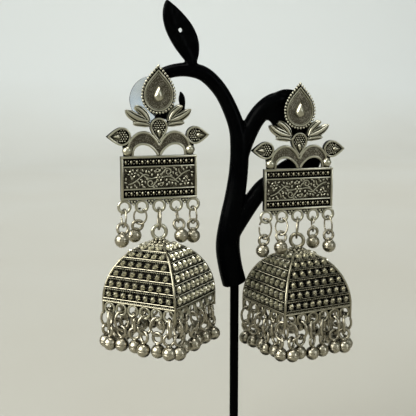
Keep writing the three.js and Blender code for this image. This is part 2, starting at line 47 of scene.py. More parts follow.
# small helpers


def hexColour(text):
    def linear(c):
        return c / 12.92 if c <= 0.04045 else ((c + 0.055) / 1.055) ** 2.4

    return tuple(linear(int(text[i:i + 2], 16) / 255) for i in (1, 3, 5)) + (1.0,)


def addNode(tree, kind, settings=None, links=None):
    node = tree.nodes.new(kind)
    for key, value in (settings or {}).items():
        if isinstance(key, int) or key in node.inputs:
            node.inputs[key].default_value = value
        else:
            setattr(node, key, value)
    for key, source in (links or {}).items():
        tree.links.new(source, node.inputs[key])
    return node


def newMaterial(name):
    material = bpy.data.materials.new(name)
    material.use_nodes = True
    tree = material.node_tree
    shader = tree.nodes["Principled BSDF"]
    place = addNode(tree, "ShaderNodeTexCoord").outputs["Object"]
    return material, tree, shader, place


def colourRamp(tree, source, stops):
    ramp = addNode(tree, "ShaderNodeValToRGB", links={"Fac": source})
    elements = ramp.color_ramp.elements
    while len(elements) < len(stops):
        elements.new(0.5)
    for element, (at, colour) in zip(elements, stops):
        element.position = at
        element.color = hexColour(colour) if isinstance(colour, str) else (colour, colour, colour, 1)
    return ramp.outputs["Color"]


def meshOf(name, vertices, faces, material, smooth=True):
    mesh = bpy.data.meshes.new(name)
    mesh.from_pydata([tuple(v) for v in vertices], [], [tuple(f) for f in faces])
    mesh.validate()
    mesh.materials.append(material)
    if smooth:
        mesh.polygons.foreach_set("use_smooth", [True] * len(mesh.polygons))
    piece = bpy.data.objects.new(name, mesh)
    bpy.context.collection.objects.link(piece)
    return piece


def takeActive(name, material, smooth=True):
    piece = bpy.context.active_object
    piece.name = name
    piece.data.materials.clear()
    piece.data.materials.append(material)
    if smooth:
        bpy.ops.object.shade_smooth()
    bpy.ops.object.transform_apply(location=True, rotation=True, scale=True)
    piece.select_set(False)
    return piece


def only(*pieces):
    bpy.ops.object.select_all(action="DESELECT")
    for piece in pieces:
        piece.select_set(True)
    bpy.context.view_layer.objects.active = pieces[0]


def applyModifier(piece, kind, **settings):
    only(piece)
    modifier = piece.modifiers.new(kind.title(), kind)
    for key, value in settings.items():
        setattr(modifier, key, value)
    bpy.ops.object.modifier_apply(modifier=modifier.name)
    piece.select_set(False)


def joined(name, pieces):
    only(*pieces)
    bpy.ops.object.join()
    piece = bpy.context.active_object
    piece.name = name
    piece.select_set(False)
    return piece


def scatter(name, template, places, material=None):
    # one mesh made of a copy of the template's mesh at each place
    source = template.data
    points = np.empty(len(source.vertices) * 3)
    source.vertices.foreach_get("co", points)
    points = np.c_[points.reshape(-1, 3), np.ones(len(source.vertices))]
    polygons = [list(p.vertices) for p in source.polygons]
    vertices = np.concatenate([points @ np.array(place).T for place in places])[:, :3]
    faces = [[i + n * len(points) for i in p] for n in range(len(places)) for p in polygons]
    return meshOf(name, vertices, faces, material or source.materials[0])


def spot(x, y, z, turn=0, size=1.0, tall=None, deep=None):
    # a place on the front of a plate, turned about the viewing line
    scale = Matrix.Diagonal((size, deep or size, tall or size, 1))
    return Matrix.Translation((x, y, z)) @ Matrix.Rotation(math.radians(-turn), 4, "Y") @ scale


def wire(name, points, radius, material, closed=False, sides=3):
    # a round wire through the points
    curve = bpy.data.curves.new(name, "CURVE")
    curve.dimensions = "3D"
    curve.bevel_depth = radius
    curve.bevel_resolution = sides - 1
    curve.use_fill_caps = True
    spline = curve.splines.new("POLY")
    spline.points.add(len(points) - 1)
    for point, (x, y, z) in zip(spline.points, points):
        point.co = (x, y, z, 1)
    spline.use_cyclic_u = closed
    piece = bpy.data.objects.new(name, curve)
    bpy.context.collection.objects.link(piece)
    only(piece)
    bpy.ops.object.convert(target="MESH")
    piece.data.materials.clear()
    piece.data.materials.append(material)
    bpy.ops.object.shade_smooth()
    piece.select_set(False)
    return piece


def smoothPath(points, steps=8, closed=False):
    # a rounded line through a few points
    count = len(points)
    path = []
    spans = count if closed else count - 1
    for i in range(spans):
        ends = []
        for k in (-1, 0, 1, 2):
            j = (i + k) % count if closed else min(max(i + k, 0), count - 1)
            ends.append(Vector(points[j]))
        a, b, c, d = ends
        for s in range(steps):
            t = s / steps
            path.append(0.5 * ((2 * b) + (c - a) * t + (2 * a - 5 * b + 4 * c - d) * t * t
                               + (3 * b - a - 3 * c + d) * t ** 3))
    if not closed:
        path.append(Vector(points[-1]))
    return path


def slab(name, outline, back, front, material, edge=0.0):
    # a flat outline (x, z) given its thickness towards the viewer
    bpy.ops.mesh.primitive_circle_add(vertices=len(outline), radius=1, fill_type="NGON")
    piece = bpy.context.active_object
    for vertex, (x, z) in zip(piece.data.vertices, outline):
        vertex.co = (x, -back, z)
    bpy.ops.object.mode_set(mode="EDIT")
    bpy.ops.mesh.select_all(action="SELECT")
    bpy.ops.mesh.extrude_region_move(TRANSFORM_OT_translate={"value": (0, back - front, 0)})
    bpy.ops.mesh.select_all(action="SELECT")
    bpy.ops.mesh.normals_make_consistent(inside=False)
    bpy.ops.object.mode_set(mode="OBJECT")
    piece = takeActive(name, material, smooth=False)
    if edge:
        applyModifier(piece, "BEVEL", width=edge, segments=2, limit_method="ANGLE")
    return piece


def puffed(name, outline, low, high, material, steps=4):
    # a flat outline swelling towards the viewer
    count = len(outline)
    centre = Vector((sum(p[0] for p in outline) / count, sum(p[1] for p in outline) / count))
    vertices = []
    for k in range(steps):
        share = math.cos(math.pi / 2 * k / steps)
        rise = low + (high - low) * math.sin(math.pi / 2 * k / steps)
        for x, z in outline:
            vertices.append((centre.x + (x - centre.x) * share, -rise, centre.y + (z - centre.y) * share))
    vertices.append((centre.x, -high, centre.y))
    faces = []
    for k in range(steps - 1):
        for i in range(count):
            j = (i + 1) % count
            faces.append((k * count + i, k * count + j, (k + 1) * count + j, (k + 1) * count + i))
    last = (steps - 1) * count
    faces += [(last + i, last + (i + 1) % count, len(vertices) - 1) for i in range(count)]
    faces.append(tuple(range(count - 1, -1, -1)))
    piece = meshOf(name, vertices, faces, material)
    only(piece)
    bpy.ops.object.mode_set(mode="EDIT")
    bpy.ops.mesh.select_all(action="SELECT")
    bpy.ops.mesh.normals_make_consistent(inside=False)
    bpy.ops.object.mode_set(mode="OBJECT")
    piece.select_set(False)
    return piece


def bentPoint(start, bend, end, t):
    # a place on the curve from start to end that leans towards bend
    return tuple((1 - t) ** 2 * start[k] + 2 * t * (1 - t) * bend[k] + t * t * end[k] for k in (0, 1))


def dropOutline(radius, tip, steps=18, x=0.0, z=0.0, turn=0.0):
    # a drop: a round belly and two sides that bend to a point
    touch = math.asin(radius / tip) * 0.6  # how far past its middle the belly stays round
    shoulder = (radius * 0.72, tip * 0.52)
    points = []
    for i in range(steps + 1):
        a = math.pi - touch + (math.pi + 2 * touch) * i / steps
        points.append((radius * math.cos(a), radius * math.sin(a)))
    side = max(4, steps // 2)
    first, last = points[0], points[-1]
    points += [bentPoint(last, shoulder, (0, tip), s / side) for s in range(1, side + 1)]
    points += [bentPoint((0, tip), (-shoulder[0], shoulder[1]), first, s / side) for s in range(1, side)]
    c, s = math.cos(math.radians(turn)), math.sin(math.radians(turn))
    return [(x + px * c + pz * s, z - px * s + pz * c) for px, pz in points]


def along(outline, step):
    # even places round a closed outline
    loop = [Vector(p) for p in outline] + [Vector(outline[0])]
    lengths = [(b - a).length for a, b in zip(loop, loop[1:])]
    count = max(3, round(sum(lengths) / step))
    places = []
    for n in range(count):
        left = sum(lengths) * n / count
        for a, b, size in zip(loop, loop[1:], lengths):
            if left <= size:
                places.append(a.lerp(b, left / size))
                break
            left -= size
    return places


def inside(point, outline):
    # counts how often a line from the point crosses the outline
    x, z = point
    hit = False
    for (x1, z1), (x2, z2) in zip(outline, outline[1:] + outline[:1]):
        if (z1 > z) != (z2 > z) and x < (x2 - x1) * (z - z1) / (z2 - z1) + x1:
            hit = not hit
    return hit


def copyOf(template, name, place):
    piece = bpy.data.objects.new(name, template.data.copy())
    bpy.context.collection.objects.link(piece)
    piece.data.transform(place)
    return piece


def settle(piece, body, slotName, *nodes):
    # a finished piece takes the place of its solids: they are hidden and the piece goes on their body
    if nodes:
        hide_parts(*nodes)
    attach(piece, body)


# finishes

silverTones = {"bright": "#B2AF9C", "wire": "#98937F", "worn": "#6B6757", "dark": "#040403"}


def makeAntiqueSilver(name, bright, worn, reach=0.0007, turns=(0.25, 0.5, 0.8)):
    # zinc casting, silver plated and oxidised: bright on the high points, black in the recesses
    material, tree, shader, place = newMaterial(name)
    crevice = addNode(tree, "ShaderNodeAmbientOcclusion", {"samples": 8, "Distance": reach})
    patch = addNode(tree, "ShaderNodeTexNoise", {"Scale": 900.0, "Detail": 4.0, "Roughness": 0.6},
                    {"Vector": place})
    blend = addNode(tree, "ShaderNodeMath", {"operation": "MULTIPLY_ADD", 1: 0.3, 2: -0.15},
                    {0: patch.outputs["Fac"]})
    wear = addNode(tree, "ShaderNodeMath", {"operation": "ADD"},
                   {0: crevice.outputs["AO"], 1: blend.outputs["Value"]})
    tones = (silverTones["dark"], worn, bright)
    colour = colourRamp(tree, wear.outputs["Value"], list(zip(turns, tones)))
    tree.links.new(colour, shader.inputs["Base Color"])
    rough = colourRamp(tree, wear.outputs["Value"], [(0.3, 0.6), (0.9, 0.28)])
    tree.links.new(rough, shader.inputs["Roughness"])
    # the casting's skin, 0.4 mm in grain
    grain = addNode(tree, "ShaderNodeTexNoise", {"Scale": 2600.0, "Detail": 3.0}, {"Vector": place})
    bump = addNode(tree, "ShaderNodeBump", {"Strength": 0.35, "Distance": 0.00008},
                   {"Height": grain.outputs["Fac"]})
    tree.links.new(bump.outputs["Normal"], shader.inputs["Normal"])
    shader.inputs["Metallic"].default_value = 1.0
    return material


def makeOxidisedGround(name, light, dark, roughness):
    # a sunk ground of the casting, blackened by the oxidising bath, with a stippled skin
    material, tree, shader, place = newMaterial(name)
    # punch marks 0.35 mm apart
    stipple = addNode(tree, "ShaderNodeTexVoronoi", {"Scale": 2800.0}, {"Vector": place})
    cloud = addNode(tree, "ShaderNodeTexNoise", {"Scale": 500.0, "Detail": 3.0}, {"Vector": place})
    tone = addNode(tree, "ShaderNodeMath", {"operation": "MULTIPLY_ADD", 1: 0.9},
                   {0: cloud.outputs["Fac"], 2: stipple.outputs["Distance"]})
    colour = colourRamp(tree, tone.outputs["Value"], [(0.45, light), (1.0, dark)])
    tree.links.new(colour, shader.inputs["Base Color"])
    bump = addNode(tree, "ShaderNodeBump", {"Strength": 0.6, "Distance": 0.0001, "invert": True},
                   {"Height": stipple.outputs["Distance"]})
    tree.links.new(bump.outputs["Normal"], shader.inputs["Normal"])
    shader.inputs["Metallic"].default_value = 1.0
    shader.inputs["Roughness"].default_value = roughness
    return material


def makePlatedBead():
    # bright plated steel findings, a little clouded by handling, with painted shade darkening them in their
    # crevices and where they touch
    material, tree, shader, place = newMaterial("silverPlatedFindings")
    cloud = addNode(tree, "ShaderNodeTexNoise", {"Scale": 700.0, "Detail": 3.0}, {"Vector": place})
    # painted shade: the plate is darkened where other metal closes round it
    crevice = addNode(tree, "ShaderNodeAmbientOcclusion", {"samples": 6, "Distance": 0.0012})
    shade = addNode(tree, "ShaderNodeMath", {"operation": "MULTIPLY_ADD", 1: 0.4},
                    {0: cloud.outputs["Fac"], 2: crevice.outputs["AO"]})
    colour = colourRamp(tree, shade.outputs["Value"],
                        [(0.45, "#1F1C17"), (0.85, "#6B6555"), (1.0, "#A39D8B")])
    tree.links.new(colour, shader.inputs["Base Color"])
    rough = colourRamp(tree, cloud.outputs["Fac"], [(0.3, 0.22), (0.7, 0.4)])
    tree.links.new(rough, shader.inputs["Roughness"])
    shader.inputs["Metallic"].default_value = 1.0
    return material


def makeBlackResin():
    # injection-moulded black styrene, glossy, with faint flow streaks
    material, tree, shader, place = newMaterial("mouldedBlackStyrene")
    flow = addNode(tree, "ShaderNodeTexNoise", {"Scale": 160.0, "Detail": 5.0, "Roughness": 0.55},
                   {"Vector": place})
    colour = colourRamp(tree, flow.outputs["Fac"], [(0.3, "#010102"), (0.75, "#040505")])
    tree.links.new(colour, shader.inputs["Base Color"])
    rough = colourRamp(tree, flow.outputs["Fac"], [(0.3, 0.16), (0.7, 0.3)])
    tree.links.new(rough, shader.inputs["Roughness"])
    # ripples of the mould, 2 mm apart
    skin = addNode(tree, "ShaderNodeTexNoise", {"Scale": 420.0, "Detail": 3.0}, {"Vector": place})
    bump = addNode(tree, "ShaderNodeBump", {"Strength": 0.2, "Distance": 0.0003},
                   {"Height": skin.outputs["Fac"]})
    tree.links.new(bump.outputs["Normal"], shader.inputs["Normal"])
    shader.inputs["Specular IOR Level"].default_value = 0.015
    return material


def makeBlackPaint():
    # satin black enamel on steel rod, with a fine orange-peel skin
    material, tree, shader, place = newMaterial("blackEnamelledRod")
    peel = addNode(tree, "ShaderNodeTexNoise", {"Scale": 1400.0, "Detail": 2.0}, {"Vector": place})
    colour = colourRamp(tree, peel.outputs["Fac"], [(0.3, "#020202"), (0.7, "#060606")])
    tree.links.new(colour, shader.inputs["Base Color"])
    bump = addNode(tree, "ShaderNodeBump", {"Strength": 0.15, "Distance": 0.00005},
                   {"Height": peel.outputs["Fac"]})
    tree.links.new(bump.outputs["Normal"], shader.inputs["Normal"])
    shader.inputs["Specular IOR Level"].default_value = 0.006
    shader.inputs["Roughness"].default_value = 0.3
    return material


def makeClearDisc():
    # clear moulded PVC ear disc, faintly blue in its thickness, with small moulding ripples
    material, tree, shader, place = newMaterial("clearMouldedPvc")
    ripple = addNode(tree, "ShaderNodeTexNoise", {"Scale": 300.0, "Detail": 2.0}, {"Vector": place})
    colour = colourRamp(tree, ripple.outputs["Fac"], [(0.3, "#CFDAE7"), (0.7, "#E2E9F0")])
    tree.links.new(colour, shader.inputs["Base Color"])
    bump = addNode(tree, "ShaderNodeBump", {"Strength": 0.1, "Distance": 0.0002},
                   {"Height": ripple.outputs["Fac"]})
    tree.links.new(bump.outputs["Normal"], shader.inputs["Normal"])
    shader.inputs["Transmission Weight"].default_value = 1.0
    shader.inputs["Roughness"].default_value = 0.12
    shader.inputs["IOR"].default_value = 1.42
    return material


antiqueSilver = makeAntiqueSilver("antiqueSilverCasting", silverTones["bright"], silverTones["worn"])
# a darker silver for wires and small grains, which also paints the right dome's castings in shade
darkerSilver = makeAntiqueSilver("darkerSilverFinish", silverTones["wire"], silverTones["worn"])
studReach = 0.00045  # how far the dark reaches out of a stud's recesses, in metres
studSilver = makeAntiqueSilver("polishedSilverStuds", "#E4E1CF", "#989480", studReach, (0.14, 0.3, 0.46))
# a darker copy of the studs' silver, painted shade for the right dome
shadedStudSilver = makeAntiqueSilver("paintedShadeSilverStuds", "#CAC7B5", "#7B7764", studReach, (0.15, 0.32, 0.5))
blackGround = makeOxidisedGround("blackenedSilverGround", "#1C1A16", "#050504", 0.5)
panelGround = makeOxidisedGround("oxidisedSilverPanel", "#6E6A5A", "#282620", 0.45)
greyGround = makeOxidisedGround("greyedSilverField", "#9A9584", "#4A463B", 0.4)
platedBead = makePlatedBead()
blackResin = makeBlackResin()
blackPaint = makeBlackPaint()
clearDisc = makeClearDisc()
print("finishes made")


# small castings used many times


def makeGranule(segments, rings):
    bpy.ops.mesh.primitive_uv_sphere_add(segments=segments, ring_count=rings, radius=1)
    return takeActive("granule", antiqueSilver)


# knob, cut and rise in shares of the stud's radius
studShape = {"petals": 8, "knob": 0.3, "cut": 0.55, "rise": 0.8}


def makeStud():
    # a little ribbed flower, domed towards the viewer, with deep cuts between its petals and a knob on top
    petals = studShape["petals"]
    bpy.ops.mesh.primitive_uv_sphere_add(segments=2 * petals, ring_count=8, radius=1,
                                         rotation=(math.pi / 2, 0, 0))
    piece = takeActive("stud", studSilver)
    for vertex in piece.data.vertices:
        around = math.atan2(vertex.co.z, vertex.co.x)
        out = math.hypot(vertex.co.x, vertex.co.z)
        if out > studShape["knob"] and math.cos(petals * around) < 0:
            vertex.co *= studShape["cut"]
        vertex.co.y *= studShape["rise"]
    return piece


beadShape = {
    "segments": 18, "rings": 13, "seam": 0.06, "seamWidth": 0.07,
    "collarLow": 1.0, "collarTop": 0.55, "collarHeight": 0.7, "collarLift": 0.1,
}
ringShape = {"around": 28, "across": 8}


def makeBead(radius):
    # a hollow bead of two pressed halves, with the groove of its seam round the middle
    bpy.ops.mesh.primitive_uv_sphere_add(segments=beadShape["segments"], ring_count=beadShape["rings"],
                                         radius=radius)
    piece = bpy.context.active_object
    bpy.ops.object.mode_set(mode="EDIT")
    bpy.ops.mesh.select_all(action="SELECT")
    bpy.ops.mesh.bisect(plane_co=(0, 0, 0), plane_no=(0, 0, 1))
    bpy.ops.mesh.bevel(offset=beadShape["seamWidth"], segments=2, profile=0.2)
    bpy.ops.object.mode_set(mode="OBJECT")
    for vertex in piece.data.vertices:
        if abs(vertex.co.z) < 0.02:  # the line along the bottom of the groove
            vertex.co.x *= 1 - beadShape["seam"]
            vertex.co.y *= 1 - beadShape["seam"]
    return takeActive("bead", platedBead)


def makeJumpRing(inner, wireRadius, split):
    # an open ring of round wire in the YZ plane, its cut ends a little apart
    bpy.ops.mesh.primitive_torus_add(major_radius=inner + wireRadius, minor_radius=wireRadius,
                                     major_segments=ringShape["around"], minor_segments=ringShape["across"])
    piece = bpy.context.active_object
    bpy.ops.object.mode_set(mode="EDIT")
    bpy.ops.mesh.select_all(action="DESELECT")
    bpy.ops.object.mode_set(mode="OBJECT")
    for face in piece.data.polygons:
        angle = math.atan2(face.center.y, face.center.x)
        face.select = 0 < angle < 2 * math.pi / ringShape["around"]
    bpy.ops.object.mode_set(mode="EDIT")
    bpy.ops.mesh.delete(type="FACE")
    bpy.ops.mesh.select_all(action="SELECT")
    bpy.ops.mesh.region_to_loop()
    bpy.ops.mesh.edge_face_add()
    bpy.ops.object.mode_set(mode="OBJECT")
    for vertex in piece.data.vertices:
        angle = math.atan2(vertex.co.y, vertex.co.x) % (2 * math.pi)
        vertex.co.z += split * (angle / (2 * math.pi) - 0.5)
    piece.rotation_euler = (0, math.pi / 2, 0)
    return takeActive("jumpRing", platedBead)


def makeLoopBead(radius, rise):
    # a bead hanging below its own loop, the loop's centre at the origin
    bpy.ops.mesh.primitive_torus_add(major_radius=drops["loopRadius"], minor_radius=drops["loopWire"],
                                     major_segments=22, minor_segments=7, rotation=(math.pi / 2, 0, 0))
    loop = takeActive("beadLoop", platedBead)
    bead = makeBead(radius)
    bead.data.transform(Matrix.Translation((0, 0, -rise)))
    bpy.ops.mesh.primitive_cone_add(vertices=12, radius1=beadShape["collarLow"],
                                    radius2=beadShape["collarTop"], depth=beadShape["collarHeight"],
                                    location=(0, 0, beadShape["collarLift"] + radius - rise))
    collar = takeActive("beadCollar", platedBead)
    return joined("loopBead", [loop, bead, collar])


granule = makeGranule(8, 5)
fineGranule = makeGranule(6, 4)
stud = makeStud()

# the cast stud plate

# levels are measured towards the viewer from the middle of the plate, and heights from the panel's top
plate = {
    "back": -0.7, "ground": 0.3, "field": 0.55, "ridge": 1.15,
    "postRadius": 0.45, "postLength": 10.8, "postHeight": 17.5, "postSunk": 0.5, "solder": (1.3, 0.5, 1.3),
    "smoothAngle": 42,
}
# each line of the crest: inset at the sides and at the point, steps, and how far short of the point it swells
crest = {
    "radius": 5.6, "centre": 18.8, "tip": 9.7, "swell": 0.13,
    "ground": (0.35, 0.3, 28, 0.0), "beading": (0.3, 0.2, 28, 0.0), "ridge": (1.05, 1.6, 28, 1.6),
    "innerRidge": (1.5, 2.6, 24, 2.6), "ridgeWire": 0.26, "innerWire": 0.11,
    "grain": 0.44, "grainStep": 1.06, "tipGrain": 0.42, "gem": (1.7, 3.7), "gemRise": 1.0,
}
leafShape = {
    "along": 14, "across": 12, "edge": 0.35, "crown": 0.85, "thick": 1.0,
    "groove": 0.8, "groovePlace": 0.5, "grooveWidth": 0.12,
}
cell = {
    "ridgeIn": (0.3, 0.6), "ridge": 0.34, "ridgeLow": 0.3, "grainsIn": (0.7, 1.5), "grain": 0.29,
    "grainStep": 0.8, "dropLong": 3.1, "edgeOut": (0.3, 0.5), "edge": 0.1, "sunk": 0.15,
}
bud = {"radius": 2.85, "tip": 5.3, "x": 0, "z": 9.2, "turn": 180, "dropAt": 1.5, "dropSize": 0.72}
sideDrop = {"radius": 2.9, "tip": 4.93, "x": 11.97, "z": 6.3, "turn": 90, "dropAt": 1.1, "dropSize": 0.75}
arch = {
    "foot": -0.35, "half": 10.0, "window": 8.6, "cusp": 0.35, "ridgeLow": 0.4, "limbWire": 0.42,
    "sillWire": 0.4, "sillLift": 0.1,
    "ball": 1.6, "ballPlace": (10.3, 1.7), "ballForward": 0.35, "seam": 0.08,
}
panel = {
    "width": 25.0, "height": 14.0, "frame": 0.7, "band": 2.5, "lip": 0.42, "lipRise": 0.95,
    "rounding": 0.16, "overlap": 0.05, "grains": 13, "pipApart": 0.5,
}
plateLoops = {"radius": 1.88, "wire": 0.5, "pitch": 5.7, "row": -16.2, "grain": 0.46, "grainRise": 0.45}

archEdge = [
    (0, 3.4), (1.0, 4.9), (2.4, 6.5), (3.8, 7.3), (5.3, 7.5), (6.9, 7.1), (8.3, 6.1), (9.4, 4.7),
    (10.0, 3.0),
]
windowEdge = [
    (0.35, 0.0), (0.5, 0.35), (1.5, 1.8), (3.2, 3.2), (5.2, 3.75), (7.0, 3.35), (8.2, 2.2), (8.6, 0.9),
    (8.6, 0.0),
]
ballBack = [(9.4, -0.35), (11.4, -0.35), (11.7, 4.2), (9.4, 4.6)]
stalk = [
    (-1.5, 5.8), (1.5, 5.8), (2.3, 8.4), (1.0, 12.2), (1.1, 13.6), (-1.1, 13.6), (-1.0, 12.2), (-2.3, 8.4),
]
loopWeb = [(-1.4, -13.9), (1.4, -13.9), (0.85, -14.9), (0, -15.9), (-0.85, -14.9)]
webGrains = [(-0.5, -14.55), (0.5, -14.55), (0, -15.35)]
wingLeaves = [
    {"root": (3.2, 10.9), "bend": (4.3, 14.1), "tip": (7.7, 15.6), "width": 2.5, "point": 0.36},
    {"root": (3.6, 11.1), "bend": (7.4, 11.4), "tip": (10.6, 14.6), "width": 3.0, "point": 0.6},
    {"root": (2.9, 9.6), "bend": (4.9, 10.5), "tip": (8.3, 10.3), "width": 2.2, "point": 0.34},
]
wingGround = [
    (2.5, 9.0), (4.6, 9.9), (6.8, 10.2), (7.2, 11.4), (6.6, 13.2), (4.9, 13.8), (3.8, 12.9), (2.9, 11.0),
]


def softened(piece, degrees):
    # smooth shading over every edge that is blunter than the angle
    only(piece)
    bpy.ops.object.shade_smooth_by_angle(angle=math.radians(degrees))
    piece.select_set(False)
    return piece


def uprightRing(name, radius, wireRadius, segments, sides, place=(0, 0, 0)):
    # a soldered ring that stands on edge and faces the front
    bpy.ops.mesh.primitive_torus_add(major_radius=radius, minor_radius=wireRadius, major_segments=segments,
                                     minor_segments=sides, rotation=(math.pi / 2, 0, 0), location=place)
    return takeActive(name, antiqueSilver)


def ridgeLine(name, outline, radius, height, closed=True):
    return wire(name, [(x, -height, z) for x, z in outline], radius, antiqueSilver, closed)


def makeLeaf(side, root, bend, tip, width, point):
    # a cast leaf with a raised back, a groove each side of it and a rolled edge
    count, across = leafShape["along"], leafShape["across"]
    vertices = []
    for i in range(count + 1):
        t = i / count
        x, z = bentPoint(root, bend, tip, t)
        dx = 2 * (1 - t) * (bend[0] - root[0]) + 2 * t * (tip[0] - bend[0])
        dz = 2 * (1 - t) * (bend[1] - root[1]) + 2 * t * (tip[1] - bend[1])
        long = math.hypot(dx, dz)
        # half its width at the root, full soon after, and drawn in late to its point
        half = width / 2 * min(1, 0.5 + 1.6 * t) * max(0.03, 1 - t ** 5) ** point
        for k in range(across + 1):
            s = 2 * k / across - 1
            off = (abs(s) - leafShape["groovePlace"]) / leafShape["grooveWidth"]
            groove = leafShape["groove"] * math.exp(-off ** 2) * (1 - t ** 4)
            rise = leafShape["edge"] + leafShape["crown"] * math.sqrt(max(0, 1 - s * s)) - groove
            vertices.append((side * (x - dz / long * half * s), -rise, z + dx / long * half * s))
    row = across + 1
    faces = [(i * row + k, i * row + k + 1, (i + 1) * row + k + 1, (i + 1) * row + k)
             for i in range(count) for k in range(across)]
    piece = meshOf("wingLeaf", vertices, faces, antiqueSilver)
    only(piece)
    bpy.ops.object.mode_set(mode="EDIT")
    bpy.ops.mesh.select_all(action="SELECT")
    bpy.ops.mesh.region_to_loop()
    bpy.ops.mesh.extrude_region_move(TRANSFORM_OT_translate={"value": (0, leafShape["thick"], 0)})
    bpy.ops.mesh.edge_face_add()
    bpy.ops.mesh.select_all(action="SELECT")
    bpy.ops.mesh.normals_make_consistent(inside=False)
    bpy.ops.object.mode_set(mode="OBJECT")
    piece.select_set(False)
    return piece


def grainField(outline, keepOut):
    # granulation in staggered rows inside an outline, kept out of another one
    step = cell["grainStep"]
    places = []
    xs = [p[0] for p in outline]
    zs = [p[1] for p in outline]
    row = 0
    z = min(zs)
    while z < max(zs):
        x = min(xs) + (step / 2 if row % 2 else 0)
        while x < max(xs):
            if inside((x, z), outline) and not inside((x, z), keepOut):
                places.append(spot(x, -plate["field"] - 0.05, z, size=cell["grain"]))
            x += step
        z += step * 0.87  # the height of a triangle of three grains
        row += 1
    return places


def makeCell(name, radius, tip, x, z, turn, dropAt, dropSize):
    # a drop-shaped cell: ridge, granulated ground and one raised drop near its point
    def drawnIn(inset, steps):
        return dropOutline(radius - inset[0], tip - inset[1], steps, x, z, turn)

    c, s = math.cos(math.radians(turn)), math.sin(math.radians(turn))
    seat = (x + dropAt * s, z + dropAt * c)
    long = dropSize * cell["dropLong"]
    gem = dropOutline(dropSize, long, 12, *seat, turn)
    gemEdge = dropOutline(dropSize + cell["edgeOut"][0], long + cell["edgeOut"][1], 12, *seat, turn)
    floor, ridgeLow = plate["field"] - cell["sunk"], cell["ridgeLow"]
    grains = grainField(drawnIn(cell["grainsIn"], 16), gemEdge)
    return [
        slab(name + "Ground", drawnIn((0, 0), 20), plate["back"], floor, blackGround),
        ridgeLine(name + "Ridge", drawnIn(cell["ridgeIn"], 20), cell["ridge"], plate["ridge"] - ridgeLow),
        scatter(name + "Grains", granule, grains),
        puffed(name + "Drop", gem, floor, plate["ridge"] + ridgeLow, antiqueSilver),
        ridgeLine(name + "DropEdge", gemEdge, cell["edge"], plate["field"] - 0.1),
    ]


def crestLine(sides, point, steps, short):
    # a line of the crest, its sides swelled between its widest place and its point
    drop = dropOutline(crest["radius"] - sides, crest["tip"] - point, steps, 0, crest["centre"])
    swelled = []
    for x, z in drop:
        share = min(1, max(0, (z - crest["centre"]) / (crest["tip"] - short)))
        swelled.append((x * (1 + crest["swell"] * math.sin(math.pi * share ** 1.4)), z))
    return swelled


def makeCrest():
    centre, field = crest["centre"], plate["field"]
    ridge = crestLine(*crest["ridge"])
    gem = dropOutline(*crest["gem"], 16, 0, centre - 0.2)
    beadLine = crestLine(*crest["beading"])
    edge = [spot(p.x, -field - 0.2, p.y, size=crest["grain"]) for p in along(beadLine, crest["grainStep"])]
    edge.append(spot(0, -field - 0.1, centre + crest["tip"] - 0.2, size=crest["tipGrain"]))
    return [
        slab("crestGround", crestLine(*crest["ground"]), plate["back"], field - 0.1, blackGround),
        slab("crestField", ridge, 0, field + 0.1, greyGround),
        scatter("crestBeading", granule, edge),
        ridgeLine("crestRidge", ridge, crest["ridgeWire"], plate["ridge"] - 0.3),
        ridgeLine("crestInnerRidge", crestLine(*crest["innerRidge"]), crest["innerWire"], field + 0.12),
        puffed("crestDrop", gem, field, plate["ridge"] + crest["gemRise"], antiqueSilver, steps=6),
    ]


def makeArches():
    foot, half, opening, cusp = arch["foot"], arch["half"], arch["window"], arch["cusp"]
    outer = [(-x, z) for x, z in reversed(archEdge[1:])] + archEdge
    path = [(p.x, p.z) for p in smoothPath([(x, 0, z) for x, z in outer], 4)]
    window = [(p.x, p.z) for p in smoothPath([(x, 0, z) for x, z in windowEdge], 4)]
    # the ground runs over both windows and down between them
    ground = path[::-1] + [(-half, foot), (-opening, foot)] + [(-x, z) for x, z in window[::-1]]
    ground += [(-cusp, foot), (cusp, foot)] + window + [(opening, foot), (half, foot)]
    parts = [slab("archGround", ground, plate["back"], plate["field"], greyGround)]
    out, up = arch["ballPlace"]
    high = plate["ridge"] - arch["ridgeLow"]
    for side in (-1, 1):
        limb = [p for p in path if p[0] * side >= -0.01]
        parts.append(ridgeLine("archRidge", limb, arch["limbWire"], high, closed=False))
        sill = [(side * x, z + arch["sillLift"]) for x, z in window[3:]]
        parts.append(ridgeLine("archSill", sill, arch["sillWire"], high, closed=False))
        bpy.ops.mesh.primitive_uv_sphere_add(segments=20, ring_count=14, radius=arch["ball"],
                                             location=(side * out, -arch["ballForward"], up))
        parts.append(takeActive("archBall", antiqueSilver))
        seam, r = [], arch["ball"] + 0.02
        for i in range(13):
            a = math.pi * i / 12
            seam.append((side * out + r * math.cos(a), -arch["ballForward"] - r * math.sin(a), up))
        parts.append(wire("ballSeam", seam, arch["seam"], antiqueSilver, sides=2))
        neck = [(side * x, z) for x, z in ballBack]
        parts.append(slab("ballBack", neck, plate["back"], plate["ground"], blackGround))
    return parts


